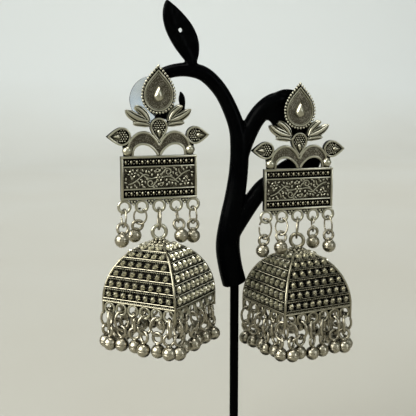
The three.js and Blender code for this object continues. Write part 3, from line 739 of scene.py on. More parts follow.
# the left half of the panel's vine, its other half being the same turned about the middle
vines = [
    [(-10.2, -9.0), (-8.8, -8.6), (-7.4, -7.8), (-6.0, -6.6), (-4.8, -5.9), (-3.4, -6.3)],
    [(-6.4, -5.2), (-5.4, -5.9), (-4.2, -7.0), (-2.6, -7.3), (-1.2, -7.0)],
    [(-7.4, -7.8), (-6.6, -8.6), (-6.4, -9.6)],
    [(-1.5, -8.9), (-0.9, -8.2), (-0.7, -7.5)],
]
vineLeaves = [
    (-10.5, -9.9, 20), (-9.2, -9.9, -30), (-8.0, -9.4, 30), (-7.5, -10.1, 0), (-5.6, -9.3, 15),
    (-4.9, -10.0, 60), (-5.6, -8.2, -40), (-4.6, -8.4, 10), (-6.8, -6.1, 40), (-5.9, -7.6, 60),
    (-4.3, -5.0, -10), (-5.4, -4.7, 30), (-3.3, -5.2, 30), (-2.5, -4.6, -30), (-3.9, -7.5, 70),
    (-2.4, -6.1, -20), (-1.3, -5.1, 10), (-10.9, -7.3, 0), (-11.0, -8.4, 80), (-10.9, -4.5, 40),
    (-7.2, -4.5, -50), (-1.0, -9.9, 40), (-0.2, -9.2, -20), (-1.8, -10.1, 80), (-8.9, -7.1, -60),
]
vine = {
    "wire": 0.2, "leaf": {"size": 0.3, "tall": 0.5, "deep": 0.3},
    "petal": {"size": 0.3, "tall": 0.5, "deep": 0.45},
    "flower": (-8.9, -5.6), "flowerRadius": 1.05, "flowerEye": 0.36,
    "spiral": (-2.9, -8.75), "spiralOuter": 1.3, "spiralIn": 0.85, "spiralSteps": 25,
    "ringlet": (-0.6, -4.75), "ringletRadius": 0.5, "ringletWire": 0.14,
    "rosette": {"size": 0.3, "tall": 0.5, "deep": 0.5}, "rosetteRadius": 0.95, "rosetteEye": 0.42,
}


def scrollWork():
    middle, height = -panel["height"] / 2, plate["field"] + 0.1
    spiral = []
    for i in range(vine["spiralSteps"] + 1):
        a = math.radians(10 - 18 * i)
        r = vine["spiralOuter"] - vine["spiralIn"] * i / vine["spiralSteps"]
        spiral.append((vine["spiral"][0] + r * math.cos(a), vine["spiral"][1] + r * math.sin(a)))
    parts, places = [], []

    for turned in (1, -1):
        def put(p):
            return turned * p[0], middle + turned * (p[1] - middle)

        def around(centre, radius, a):
            return put((centre[0] + radius * math.cos(a), centre[1] + radius * math.sin(a)))

        for line in vines + [spiral]:
            path = [(put(p)[0], -height, put(p)[1]) for p in line]
            path = path if line is spiral else smoothPath(path, 5)
            parts.append(wire("vine", path, vine["wire"], antiqueSilver, sides=2))
        for x, z, turn in vineLeaves:
            x, z = put((x, z))
            places.append(spot(x, -height, z, turn=turn, **vine["leaf"]))
        for k in range(6):
            a = math.radians(60 * k + 10)
            x, z = around(vine["flower"], vine["flowerRadius"], a)
            places.append(spot(x, -height, z, turn=90 - math.degrees(a), **vine["petal"]))
        x, z = put(vine["flower"])
        places.append(spot(x, -height, z, size=vine["flowerEye"]))
        eye = [around(vine["ringlet"], vine["ringletRadius"], i * math.pi / 6) for i in range(12)]
        eye = [(x, -height, z) for x, z in eye]
        parts.append(wire("ringlet", eye, vine["ringletWire"], antiqueSilver, closed=True, sides=2))
    for k in range(6):
        a, r = math.radians(60 * k), vine["rosetteRadius"]
        places.append(spot(r * math.cos(a), -height, middle + r * math.sin(a), turn=90 - math.degrees(a),
                           **vine["rosette"]))
    places.append(spot(0, -height, middle, size=vine["rosetteEye"]))
    parts.append(scatter("panelGrains", granule, places))
    return parts


def makePanel():
    half, low, rim, band = panel["width"] / 2, -panel["height"], panel["frame"], panel["band"]
    lip, lipRise, tuck, front = panel["lip"], panel["lipRise"], panel["overlap"], plate["ridge"]

    def box(x1, x2, z1, z2):
        return [(x1, z1), (x2, z1), (x2, z2), (x1, z2)]

    field = box(-half + rim, half - rim, low + rim + band, -rim - band)
    parts = [
        slab("panelGround", box(-half, half, low, 0), plate["back"], plate["field"] - 0.1, blackGround),
        slab("panelField", field, 0, plate["field"] + 0.08, panelGround),
    ]
    frameBars = [
        (box(-half, half, -rim, 0), front),
        (box(-half, half, low, low + rim), front),
        (box(-half, -half + rim, low + rim - tuck, -rim + tuck), front),
        (box(half - rim, half, low + rim - tuck, -rim + tuck), front),
        (box(-half + rim, half - rim, -rim - band - lip, -rim - band), lipRise),
        (box(-half + rim, half - rim, low + rim + band, low + rim + band + lip), lipRise),
    ]
    for outline, rise in frameBars:
        parts.append(slab("panelBar", outline, 0, rise, antiqueSilver, edge=panel["rounding"]))
    places, pips = [], []
    step = (panel["width"] - 2 * rim) / panel["grains"]
    seat = -plate["field"] + 0.1
    for row in (-rim - band / 2, low + rim + band / 2):
        for i in range(panel["grains"]):
            x = -half + rim + step * (i + 0.5)
            places.append(spot(x, seat, row, size=0.46, tall=0.7, deep=0.5))
            for dz in (-panel["pipApart"], panel["pipApart"]):
                if i:
                    pips.append(spot(x - step / 2, seat, row + dz, size=0.17))
    grains = scatter("bandGrains", granule, places)
    grains.data.materials[0] = darkerSilver
    parts.append(grains)
    parts.append(scatter("bandPips", fineGranule, pips))
    return parts + scrollWork()


def makeLoops():
    parts, places = [], []
    for i in range(-2, 3):
        place = (i * plateLoops["pitch"], 0, plateLoops["row"])
        parts.append(uprightRing("plateLoop", plateLoops["radius"], plateLoops["wire"], 28, 10, place))
    for i in (-1.5, -0.5, 0.5, 1.5):
        x = i * plateLoops["pitch"]
        web = [(x + dx, z) for dx, z in loopWeb]
        parts.append(slab("loopWeb", web, plate["back"] + 0.1, 0.35, blackGround))
        for dx, z in webGrains:
            places.append(spot(x + dx, -plateLoops["grainRise"], z, size=plateLoops["grain"]))
    parts.append(scatter("webGrains", granule, places))
    return parts


def makePost():
    # the post and the solder round its foot
    low, sunk, high, long = -plate["back"], plate["postSunk"], plate["postHeight"], plate["postLength"]
    bpy.ops.mesh.primitive_cylinder_add(vertices=20, radius=plate["postRadius"], depth=long + sunk,
                                        location=(0, low + (long - sunk) / 2, high),
                                        rotation=(math.pi / 2, 0, 0))
    post = takeActive("post", antiqueSilver)
    bpy.ops.mesh.primitive_uv_sphere_add(segments=20, ring_count=10, radius=1,
                                         location=(0, low + 0.05, high))
    bpy.context.active_object.scale = plate["solder"]
    return [post, takeActive("postSolder", antiqueSilver)]


def makePlate():
    parts = makeCrest() + makeArches() + makePanel() + makeLoops()
    parts.append(slab("stalk", stalk, plate["back"], plate["ground"], blackGround))
    parts += makeCell("bud", **bud)
    for side in (-1, 1):
        turned = {"x": side * sideDrop["x"], "turn": side * sideDrop["turn"]}
        parts += makeCell("sideDrop", **{**sideDrop, **turned})
        wing = [(side * x, z) for x, z in wingGround]
        parts.append(slab("wingGround", wing, plate["back"] + 0.1, plate["ground"], blackGround))
        for leaf in wingLeaves:
            parts.append(makeLeaf(side, **leaf))
    whole = joined("studPlate", parts + makePost())
    plainBack = list(whole.data.materials).index(greyGround)
    for face in whole.data.polygons:
        if face.normal.y > 0.9 and face.center.y > 0.5:
            face.material_index = plainBack
    return softened(whole, plate["smoothAngle"])


# the square dome

dome = {
    "radius": 18.8, "height": 17.8, "wall": 1.0, "steps": 24, "apex": 0.012, "smoothAngle": 50,
    "rib": 0.42, "ribSunk": 0.05, "ribFeet": (-4.3, -2.0), "ribShare": 0.94,
    "studs": (9, 8, 7, 6, 5, 3), "firstRow": 0.1, "rowPitch": 0.138, "studRadius": 1.32, "studMargin": 0.75,
    "ropeStep": 0.68, "ropeMargin": 0.3, "ropeGrain": 0.28, "ropeTall": 0.22, "lowestRope": 0.024,
    "rail": 0.13, "rimWire": 0.36, "rimLoops": 6, "rimGap": 0.3,
    "loopRadius": 1.78, "loopWire": 0.43, "loopDrop": 2.2,
    "bailRise": 3.6, "bailRadius": 2.25, "bailWire": 0.65,
}
# the rows of the mound under the bail, from the lowest: grains, distance out, height and size
moundRows = [(14, 3.9, -1.0, 0.85), (11, 3.0, -0.35, 0.8), (9, 2.2, 0.4, 0.72), (6, 1.35, 1.15, 0.62)]
rimPitch = (dome["radius"] * math.sqrt(2) - dome["rimGap"]) / dome["rimLoops"]


def measureProfile():
    # the length of a face's curve from the rim up to each angle
    half, high = dome["radius"] / math.sqrt(2), dome["height"]
    table, total, last = [(0.0, 0.0)], 0.0, (half, 0.0)
    for i in range(1, 181):
        t = math.pi / 2 * i / 180
        point = (half * math.cos(t), high * math.sin(t))
        total += math.dist(point, last)
        table.append((total, t))
        last = point
    return table


profileTable = measureProfile()


def profileAt(share):
    # half width of a face and height, by the share of the way from the rim to the top, and the slope there
    target = share * profileTable[-1][0]
    for (s0, t0), (s1, t1) in zip(profileTable, profileTable[1:]):
        if target <= s1:
            t = t0 + (t1 - t0) * (target - s0) / (s1 - s0)
            break
    half, high = dome["radius"] / math.sqrt(2), dome["height"]
    slope = math.atan2(half * math.sin(t), high * math.cos(t))  # lean from upright
    return half * math.cos(t), high * math.sin(t), slope


def onFace(face, x, share, lift=0.0, size=1.0, tall=None, deep=None, turn=0.0):
    # a place on one face of the dome, its front turned outwards
    half, high, slope = profileAt(share)
    around = Matrix.Rotation(math.pi / 4 + math.pi / 2 * face, 4, "Z")
    lean = Matrix.Translation((x, -half, high)) @ Matrix.Rotation(-slope, 4, "X")
    spin = Matrix.Translation((0, -lift, 0)) @ Matrix.Rotation(math.radians(turn), 4, "Y")
    return around @ lean @ spin @ Matrix.Diagonal((size, deep or size, tall or size, 1))


def makeDomeShell():
    # a square ring drawn up and in along the curve, then given its wall
    bpy.ops.mesh.primitive_circle_add(vertices=4, radius=dome["radius"], fill_type="NOTHING")
    bpy.ops.object.mode_set(mode="EDIT")
    bpy.ops.mesh.select_all(action="SELECT")
    bpy.ops.mesh.subdivide(number_cuts=1)
    steps, apex = dome["steps"], dome["apex"]
    for i in range(steps):
        t0, t1 = math.pi / 2 * i / steps, math.pi / 2 * (i + 1) / steps
        rise = dome["height"] * (math.sin(t1) - math.sin(t0))
        bpy.ops.mesh.extrude_region_move(TRANSFORM_OT_translate={"value": (0, 0, rise)})
        shrink = max(apex, math.cos(t1)) / max(apex, math.cos(t0))
        bpy.ops.transform.resize(value=(shrink, shrink, 1))
    bpy.ops.mesh.edge_face_add()
    bpy.ops.mesh.select_all(action="SELECT")
    bpy.ops.mesh.normals_make_consistent(inside=False)
    bpy.ops.object.mode_set(mode="OBJECT")
    piece = takeActive("domeShell", blackGround, smooth=False)
    applyModifier(piece, "SOLIDIFY", thickness=dome["wall"], offset=-1)
    return piece


def makeDomeRibs():
    # a wire up each corner, from below the rim to near the top
    parts = []
    out, up = dome["radius"] - dome["ribSunk"], dome["height"] - dome["ribSunk"]
    for k in range(4):
        path = [(out, 0, foot) for foot in dome["ribFeet"]]
        for i in range(31):
            t = math.pi / 2 * dome["ribShare"] * i / 30
            path.append((out * math.cos(t), 0, up * math.sin(t)))
        rib = wire("cornerRib", path, dome["rib"], darkerSilver, sides=4)
        rib.data.transform(Matrix.Rotation(math.pi / 2 * k, 4, "Z"))
        parts.append(rib)
    return parts


def makeDomeStuds():
    places, ropes, rails = [], [], []
    first, pitch = dome["firstRow"], dome["rowPitch"]
    for face in range(4):
        for row, count in enumerate(dome["studs"]):
            share = first + pitch * row
            half = profileAt(share)[0] - dome["studMargin"]
            step = 2 * half / count
            size = min(dome["studRadius"], step / 2 * 1.05)
            for i in range(count):
                x = -half + step * (i + 0.5)
                places.append(onFace(face, x, share, lift=0.1, size=size, tall=size * 1.04, deep=size,
                                     turn=random.uniform(0, 40)))
        for row in range(len(dome["studs"]) + 1):
            share = first + pitch * (row - 0.5) if row else dome["lowestRope"]
            half = profileAt(share)[0] - dome["ropeMargin"]
            count = int(2 * half / dome["ropeStep"])
            for i in range(count):
                x = -half + 2 * half * (i + 0.5) / count
                ropes.append(onFace(face, x, share - 0.006, lift=0.35, size=dome["ropeGrain"],
                                    tall=dome["ropeTall"]))
            ends = [onFace(face, x, share + 0.02, lift=0.3).translation for x in (-half, half)]
            rails.append(wire("rowWire", ends, dome["rail"], darkerSilver, sides=2))
    studs = scatter("domeStuds", stud, places)
    return [studs, scatter("domeRopes", fineGranule, ropes)] + rails


def makeDomeRim():
    # a smooth wire along each side of the rim, loops soldered under it and the corners filled between them
    parts = []
    half = dome["radius"] / math.sqrt(2)
    for face in range(4):
        turn = Matrix.Rotation(math.pi / 4 + math.pi / 2 * face, 4, "Z")
        ends = [(-half, -half - 0.1, 0), (half, -half - 0.1, 0)]
        rail = wire("rimWire", ends, dome["rimWire"], darkerSilver, sides=3)
        rail.data.transform(turn)
        parts.append(rail)
        for i in range(dome["rimLoops"]):
            loop = uprightRing("rimLoop", dome["loopRadius"], dome["loopWire"], 24, 8)
            x = (i - (dome["rimLoops"] - 1) / 2) * rimPitch
            loop.data.transform(turn @ Matrix.Translation((x, -half + 0.25, -dome["loopDrop"])))
            parts.append(loop)
        for i in range(dome["rimLoops"] + 1):
            x = (i - dome["rimLoops"] / 2) * rimPitch
            reach = rimPitch / 2 if 0 < i < dome["rimLoops"] else 0.5
            web = slab("rimWeb", [(x - reach, 0.0), (x, -1.9), (x + reach, 0.0)], -0.3, 0.1, blackGround)
            web.data.transform(turn @ Matrix.Translation((0, -half + 0.6, 0)))
            parts.append(web)
    return parts


def makeBail():
    # the ring on top and the mound of granules that it is soldered into
    high = dome["height"]
    place = (0, 0, high + dome["bailRise"])
    ring = uprightRing("bailRing", dome["bailRadius"], dome["bailWire"], 32, 12, place)
    bpy.ops.mesh.primitive_cone_add(vertices=24, radius1=3.4, radius2=1.0, depth=2.2,
                                    location=(0, 0, high + 0.3))
    neck = bpy.context.active_object
    applyModifier(neck, "BEVEL", width=0.2, segments=2)
    only(neck)
    neck = takeActive("bailNeck", blackGround)
    mound = [Matrix.Translation((0, 0, high + 1.1)) @ Matrix.Diagonal((1.2, 1.2, 0.5, 1))]
    for count, radius, height, size in moundRows:
        for k in range(count):
            a = 2 * math.pi * (k + 0.5) / count
            seat = Matrix.Translation((radius * math.cos(a), radius * math.sin(a), high + height))
            mound.append(seat @ Matrix.Diagonal((size, size, size, 1)))
    grains = scatter("bailGrains", granule, mound)
    grains.data.materials[0] = darkerSilver
    return [ring, neck, grains]


def makeDome():
    parts = [makeDomeShell()] + makeDomeRibs() + makeDomeStuds() + makeDomeRim() + makeBail()
    whole = joined("domeWhole", parts)
    return softened(whole, dome["smoothAngle"])


# hanging drops

drops = {
    "ringInner": 2.2, "ringWire": 0.35, "ringSquash": 0.86, "loopHole": 1.45, "link": 0.3,
    "plateBead": 2.35, "plateRise": 3.7, "plateTop": 1.27, "domeInner": 3.1, "domeWire": 0.4,
    "rimInner": 2.4, "rimOval": 0.74, "rimWire": 0.55, "rimHole": 1.4, "rimBead": 2.3,
    "rimLength": 11.9, "rimRise": 4.3, "loopRadius": 1.71, "loopWire": 0.52,
}
# each plate drop's loop, its lean, swing and turn in degrees, and how much longer it hangs
plateDrops = {
    "left": [(-2, -8, -9, 8, 0.5), (-1, -13, 16, 55, 0.2), (1, 6, -18, -20, 0.0), (2, 0, 0, 12, 0.4)],
    "right": [(-2, -5, 4, 48, 1.5), (-1, -9, -18, 52, 0.5), (1, 8, 14, -12, 0.1), (2, 2, -4, 8, 0.9)],
}
# how far the beads of each side of the fringe stand to the front or the back, to pass each other
weave = [[1.1, 0.2, -0.5, 0.7, -0.4, 0.8], [0.8, -0.4, 0.7, -0.5, 0.2, 1.1]]


def makeRimDrops(name, sides):
    rings, beads = [], []
    out = dome["radius"] / math.sqrt(2) - 0.45
    contact = -dome["loopDrop"] - drops["rimHole"]
    reach = drops["rimLength"] - drops["rimHole"]
    for half, side in enumerate(sides):
        turn = Matrix.Rotation(math.pi / 4 + math.pi / 2 * side, 4, "Z")
        for i in range(dome["rimLoops"]):
            x = (i - (dome["rimLoops"] - 1) / 2) * rimPitch
            swing = Matrix.Rotation(-math.asin(weave[half][i] / reach), 4, "X")
            lean = Matrix.Rotation(math.radians(random.uniform(-3, 3)), 4, "Y")
            place = turn @ Matrix.Translation((x, -out, contact)) @ swing @ lean
            loopDown = drops["rimRise"] - reach + random.uniform(-0.35, 0.35)
            ringDown = (loopDown + drops["loopRadius"] - drops["loopWire"]) / 2
            spin = math.radians(random.choice((-1, 1)) * random.uniform(15, 62))
            rings.append(place @ Matrix.Translation((0, 0, ringDown))
                         @ Matrix.Rotation(spin, 4, "Z") @ Matrix.Scale(drops["rimOval"], 4, (0, 1, 0))
                         @ Matrix.Rotation(random.uniform(0, 6.28), 4, "X"))
            beads.append(place @ Matrix.Translation((0, 0, loopDown))
                         @ Matrix.Rotation(math.radians(random.uniform(-40, 40)), 4, "Z"))
    parts = [scatter(name + "Rings", rimRing, rings), scatter(name + "Beads", rimBead, beads)]
    return joined(name, parts)


plateRing = makeJumpRing(drops["ringInner"], drops["ringWire"], split=0.5)
plateBeadShape = makeLoopBead(drops["plateBead"], drops["plateRise"])
domeRing = makeJumpRing(drops["domeInner"], drops["domeWire"], split=0.7)
rimRing = makeJumpRing(drops["rimInner"], drops["rimWire"], split=0.4)
rimBead = makeLoopBead(drops["rimBead"], drops["rimRise"])
plateWhole = makePlate()
print("stud plate made:", len(plateWhole.data.polygons))
domeWhole = makeDome()
print("dome made:", len(domeWhole.data.polygons))

# ear back

# the seat is behind the tree's leaf, with a little play on both sides of it
earBack = {"radius": 7.6, "thickness": 1.0, "barrel": 2.0, "barrelLength": 4.0, "bore": 0.75, "seat": 3.3}


def makeEarBack():
    r, t, b, l, h = (earBack[k] for k in ("radius", "thickness", "barrel", "barrelLength", "bore"))
    section = [(h, 0), (r - 0.4, 0), (r - 0.1, 0.15), (r, 0.5), (r - 0.1, 0.85), (r - 0.4, t), (b + 0.5, t),
               (b + 0.1, t + 0.3), (b, t + 0.8), (b * 0.85, l - 0.4), (b * 0.75, l), (h, l)]
    steps = 48
    vertices = []
    for i in range(steps):
        a = 2 * math.pi * i / steps
        vertices += [(q * math.cos(a), y, q * math.sin(a)) for q, y in section]
    count = len(section)
    faces = []
    for i in range(steps):
        j = (i + 1) % steps
        for k in range(count):
            m = (k + 1) % count
            faces.append((i * count + k, i * count + m, j * count + m, j * count + k))
    piece = meshOf("earBack", vertices, faces, clearDisc)
    only(piece)
    bpy.ops.object.mode_set(mode="EDIT")
    bpy.ops.mesh.select_all(action="SELECT")
    bpy.ops.mesh.normals_make_consistent(inside=False)
    bpy.ops.object.mode_set(mode="OBJECT")
    bpy.ops.object.shade_smooth_by_angle(angle=math.radians(40))
    piece.select_set(False)
    return piece


discShape = makeEarBack()

# hang both earrings

earrings = {
    "left": {"origin": (-27.5, -4.6, 113.1), "turn": 0, "standOff": 4.0},
    "right": {"origin": (21.0, -4.6, 107.4), "turn": -34, "standOff": 2.0},
}
metres = Matrix.Scale(0.001, 4)

for side, hang in earrings.items():
    base = metres @ Matrix.Translation(hang["origin"])
    settle(copyOf(plateWhole, side + "Plate", base), "display", "oxidised_silver", side + "_stud_plate")
    disc = base @ Matrix.Translation((0, earBack["seat"] + hang["standOff"], plate["postHeight"]))
    settle(copyOf(discShape, side + "Disc", disc), "display", "clear_plastic", side + "_ear_back")
    contact = plateLoops["row"] - drops["loopHole"]
    for i, (loop, lean, swing, askew, longer) in enumerate(plateDrops[side], 1):
        pivot = base @ Matrix.Translation((loop * plateLoops["pitch"], 0, contact))
        pivot = pivot @ Matrix.Rotation(math.radians(swing), 4, "X")
        pivot = pivot @ Matrix.Rotation(math.radians(-lean), 4, "Y")
        ringDown = drops["link"] - drops["ringInner"]
        loopDown = ringDown + drops["link"] - drops["ringInner"] - drops["plateTop"] - longer
        spin = Matrix.Rotation(math.radians(askew), 4, "Z")
        spin = spin @ Matrix.Rotation(math.radians(75 * i + 20), 4, "X")
        squash, drawnOut = drops["ringSquash"], 1 + longer / (2 * drops["ringInner"])
        drawn = Matrix.Diagonal((squash, squash, drawnOut, 1))
        ring = pivot @ Matrix.Translation((0, 0, ringDown - longer / 2)) @ drawn @ spin
        settle(copyOf(plateRing, f"{side}PlateRing{i}", ring),
               "display", "bright_bead", f"{side}_plate_ring_{i}")
        settle(copyOf(plateBeadShape, f"{side}PlateBead{i}", pivot @ Matrix.Translation((0, 0, loopDown))),
               "display", "bright_bead", f"{side}_plate_bead_{i}")
    ringDown = contact + drops["link"] - drops["domeInner"]
    askew = Matrix.Rotation(math.radians(5), 4, "Y")
    askew = askew @ Matrix.Rotation(math.radians(hang["turn"] / 2 - 6), 4, "Z")
    place = base @ Matrix.Translation((0, 0, ringDown)) @ askew
    settle(copyOf(domeRing, side + "DomeRing", place @ Matrix.Rotation(math.radians(150), 4, "X")),
           side + "_dome_ring", "bright_bead", side + "_dome_ring")
    bailDown = ringDown + drops["link"] - drops["domeInner"] - (dome["bailRadius"] - dome["bailWire"])
    rimDown = bailDown - dome["bailRise"] - dome["height"]
    place = base @ Matrix.Translation((0, 0, rimDown)) @ Matrix.Rotation(math.radians(hang["turn"]), 4, "Z")
    hanging = copyOf(domeWhole, side + "Dome", place)
    if side == "right":  # this dome is painted darker: darker copies of its silvers stand for the shade it hangs in
        dimmer = {studSilver: shadedStudSilver, antiqueSilver: darkerSilver}
        for slot, material in enumerate(hanging.data.materials):
            hanging.data.materials[slot] = dimmer.get(material, material)
    settle(hanging, side + "_dome", "oxidised_silver", side + "_dome")
    for end, sides in (("front", (3, 0)), ("back", (1, 2))):
        fringe = makeRimDrops(side + "RimDrops" + end.title(), sides)
        fringe.data.transform(place)
        settle(fringe, side + "_dome", "bright_bead", f"{side}_rim_drops_{end}")
    print(side, "earring hung")

for spare in (plateWhole, domeWhole, discShape, plateRing, plateBeadShape, domeRing, rimRing, rimBead,
              granule, fineGranule, stud):
    bpy.data.objects.remove(spare)

# the stand

# each limb as sections: sideways, forward, up and thickness, in shares of the tree's measures
trunkAndArch = [
    (0, 0, 0, 1), (-0.06, 0, 0.09, 0.99), (-0.09, 0, 0.19, 0.99), (-0.05, 0, 0.31, 0.91),
    (0, 0, 0.41, 0.84), (0.045, 0, 0.53, 0.78), (0.055, 0, 0.65, 0.75), (0.01, 0, 0.75, 0.66),
    (-0.13, 0, 0.87, 0.6),
    (-0.28, 0, 0.945, 0.6), (-0.44, 0, 0.988, 0.59), (-0.66, 0, 1, 0.54), (-0.88, 0.1, 0.983, 0.5),
    (-0.995, 0.5, 0.945, 0.44), (-1.02, 0.95, 0.9, 0.2),
]
upperBranch = [
    (0.06, 0, 0.6, 0.72), (0.13, 0, 0.675, 0.72), (0.245, 0.05, 0.765, 0.74), (0.375, 0.3, 0.825, 0.76),
    (0.5, 0.7, 0.86, 0.66), (0.62, 0.95, 0.865, 0.4),
]
lowerBranch = [
    (-0.04, 0, 0.25, 0.8), (0.1, 0, 0.327, 0.76), (0.24, 0, 0.397, 0.72), (0.4, 0, 0.465, 0.66),
    (0.58, 0, 0.51, 0.3),
]
leafStem = [(-0.57, 0, 0.985, 0.5), (-0.56, 0, 1.03, 0.4), (-0.6, 0, 1.07, 0.26)]

# leaf outlines as a start and rows of a bend and an end point, in shares of the leaf's length
treeLeaves = [
    {"anchor": (-15.4, 0, 74.4), "start": (-0.06, 0), "hole": (-0.16, 0.48),
     "curves": [(-0.57, 0.55, -0.37, 0.93), (0.28, 0.48, 0.09, 0)]},
    {"anchor": (-27.5, 2.6, 62.6), "start": (-0.1, 0.27), "hole": (0, 0),
     "curves": [(-0.28, -0.12, 0.02, -0.27), (0.42, -0.36, 0.44, -0.06), (0.45, 0.06, 0.365, 0.13),
                (0.345, 0.06, 0.34, 0.0), (0.36, -0.06, 0.34, -0.12), (0.25, -0.1, 0.2, 0.0),
                (0.12, 0.14, 0.07, 0.3)]},
    {"anchor": (21.0, 2.6, 56.9), "start": (-0.6, 0.08), "hole": (0, 0),
     "curves": [(-0.42, 0.4, -0.2, 0.415), (0.02, 0.43, 0.13, 0.22), (0.26, -0.02, 0.22, -0.33),
                (-0.28, -0.42, -0.4, -0.14), (-0.46, -0.04, -0.56, -0.03)]},
    {"anchor": (11.0, 0, 32.5), "start": (-0.05, 0.12), "hole": (0.5, 0.14),
     "curves": [(0.3, 0.56, 0.97, 0.58), (0.92, -0.16, 0, -0.14)]},
]
topVeins = [
    [(0.0, 0.05), (-0.12, 0.28), (-0.27, 0.56), (-0.36, 0.88)],
    [(-0.07, 0.2), (0.02, 0.36), (0.03, 0.46)], [(-0.24, 0.5), (-0.17, 0.6), (-0.13, 0.66)],
    [(-0.29, 0.62), (-0.24, 0.72), (-0.24, 0.78)], [(-0.09, 0.22), (-0.2, 0.28), (-0.28, 0.36)],
    [(-0.19, 0.42), (-0.3, 0.48), (-0.37, 0.56)], [(-0.28, 0.6), (-0.36, 0.66), (-0.41, 0.74)],
]
tree = {
    "foot": 68.0, "reach": 27.5, "height": 72.2, "trunk": 4.2, "forward": 2.6, "voxel": 0.4,
    "leaf": 21.5, "leafThick": 2.0, "hole": 0.8, "midVein": 0.55, "sideVein": 0.4, "veinOut": 0.95,
}


def makeBranch(sections):
    # a tapering round limb through a table of sideways, forward, up and thickness shares
    points = [(x * tree["reach"], -forward * tree["forward"], z * tree["height"], r * tree["trunk"])
              for x, forward, z, r in sections]
    line = smoothPath([p[:3] for p in points], 8)
    radii = smoothPath([(p[3], 0, 0) for p in points], 8)
    curve = bpy.data.curves.new("limb", "CURVE")
    curve.dimensions = "3D"
    curve.bevel_depth = 1.0
    curve.bevel_resolution = 6
    curve.use_fill_caps = True
    spline = curve.splines.new("POLY")
    spline.points.add(len(line) - 1)
    for point, place, radius in zip(spline.points, line, radii):
        point.co = (*place, 1)
        point.radius = radius.x
    limb = bpy.data.objects.new("limb", curve)
    bpy.context.collection.objects.link(limb)
    only(limb)
    bpy.ops.object.convert(target="MESH")
    limb.select_set(False)
    return limb


def makeTreeLeaf(anchor, start, curves, hole):
    size, points, last = tree["leaf"], [start], start
    for *bend, x, z in curves:
        points += [bentPoint(last, bend, (x, z), k / 10) for k in range(1, 11)]
        last = (x, z)
    half = tree["leafThick"] / 2
    blade = slab("leafBlade", [(x * size, z * size) for x, z in points], -half, half, blackResin)
    bpy.ops.mesh.primitive_cylinder_add(vertices=24, radius=tree["hole"], depth=6,
                                        location=(hole[0] * size, 0, hole[1] * size),
                                        rotation=(math.pi / 2, 0, 0))
    drill = bpy.context.active_object
    applyModifier(blade, "BOOLEAN", object=drill, operation="DIFFERENCE")
    bpy.data.objects.remove(drill)
    x, forward, z = anchor
    blade.data.transform(Matrix.Translation((x, -forward, z)))
    return blade


def makeTree():
    # the limbs and leaves of the moulding run softly into each other, so one skin is drawn over them all
    parts = [makeBranch(sections) for sections in (trunkAndArch, upperBranch, lowerBranch, leafStem)]
    parts += [makeTreeLeaf(**leaf) for leaf in treeLeaves]
    x, _, z = treeLeaves[0]["anchor"]
    for face in (-1, 1):
        for n, line in enumerate(topVeins):
            points = [(x + u * tree["leaf"], face * tree["veinOut"], z + v * tree["leaf"]) for u, v in line]
            radius = tree["sideVein"] if n else tree["midVein"]
            parts.append(wire("vein", smoothPath(points, 6), radius, blackResin))
    whole = joined("displayTree", parts)
    applyModifier(whole, "REMESH", mode="VOXEL", voxel_size=tree["voxel"])
    applyModifier(whole, "SMOOTH", factor=0.5, iterations=6)
    whole.data.materials.clear()
    whole.data.materials.append(blackResin)
    whole.data.transform(metres @ Matrix.Translation((0, 0, tree["foot"])))
    only(whole)
    bpy.ops.object.shade_smooth()
    whole.select_set(False)
    return whole


stand = {"pole": 1.5, "poleLow": 6.3, "poleHigh": 73.0, "poleBevel": 0.0002, "smoothAngle": 35}
# the base's outline from its foot to the collar round the pole, as radius and height
baseProfile = [
    (30.5, 0.0), (31.0, 0.6), (31.0, 2.1), (30.65, 2.8), (29.9, 3.2), (21.0, 3.9), (11.0, 4.8), (6.2, 5.3),
    (4.6, 5.8), (4.1, 6.0),
]


def makeBase():
    bpy.ops.mesh.primitive_circle_add(vertices=96, radius=baseProfile[0][0], fill_type="NGON")
    piece = bpy.context.active_object
    bpy.ops.object.mode_set(mode="EDIT")
    bpy.ops.mesh.select_all(action="SELECT")
    for (r0, z0), (r1, z1) in zip(baseProfile, baseProfile[1:]):
        bpy.ops.mesh.extrude_region_move(TRANSFORM_OT_translate={"value": (0, 0, z1 - z0)})
        bpy.ops.transform.resize(value=(r1 / r0, r1 / r0, 1))
    bpy.ops.mesh.select_all(action="SELECT")
    bpy.ops.mesh.normals_make_consistent(inside=False)
    bpy.ops.object.mode_set(mode="OBJECT")
    piece.data.transform(metres)
    piece = takeActive("displayBase", blackResin)
    return softened(piece, stand["smoothAngle"])


def makePole():
    length = stand["poleHigh"] - stand["poleLow"]
    bpy.ops.mesh.primitive_cylinder_add(vertices=40, radius=stand["pole"], depth=length,
                                        location=(0, 0, stand["poleLow"] + length / 2))
    piece = takeActive("displayPole", blackPaint)
    piece.data.transform(metres)
    applyModifier(piece, "BEVEL", width=stand["poleBevel"], segments=2, limit_method="ANGLE")
    return softened(piece, stand["smoothAngle"])


settle(makeTree(), "display", "black_resin", "stand_tree")
settle(makeBase(), "display", "black_resin", "stand_base")
settle(makePole(), "display", "black_steel", "stand_pole")
print("stand made")

# floor, light and camera

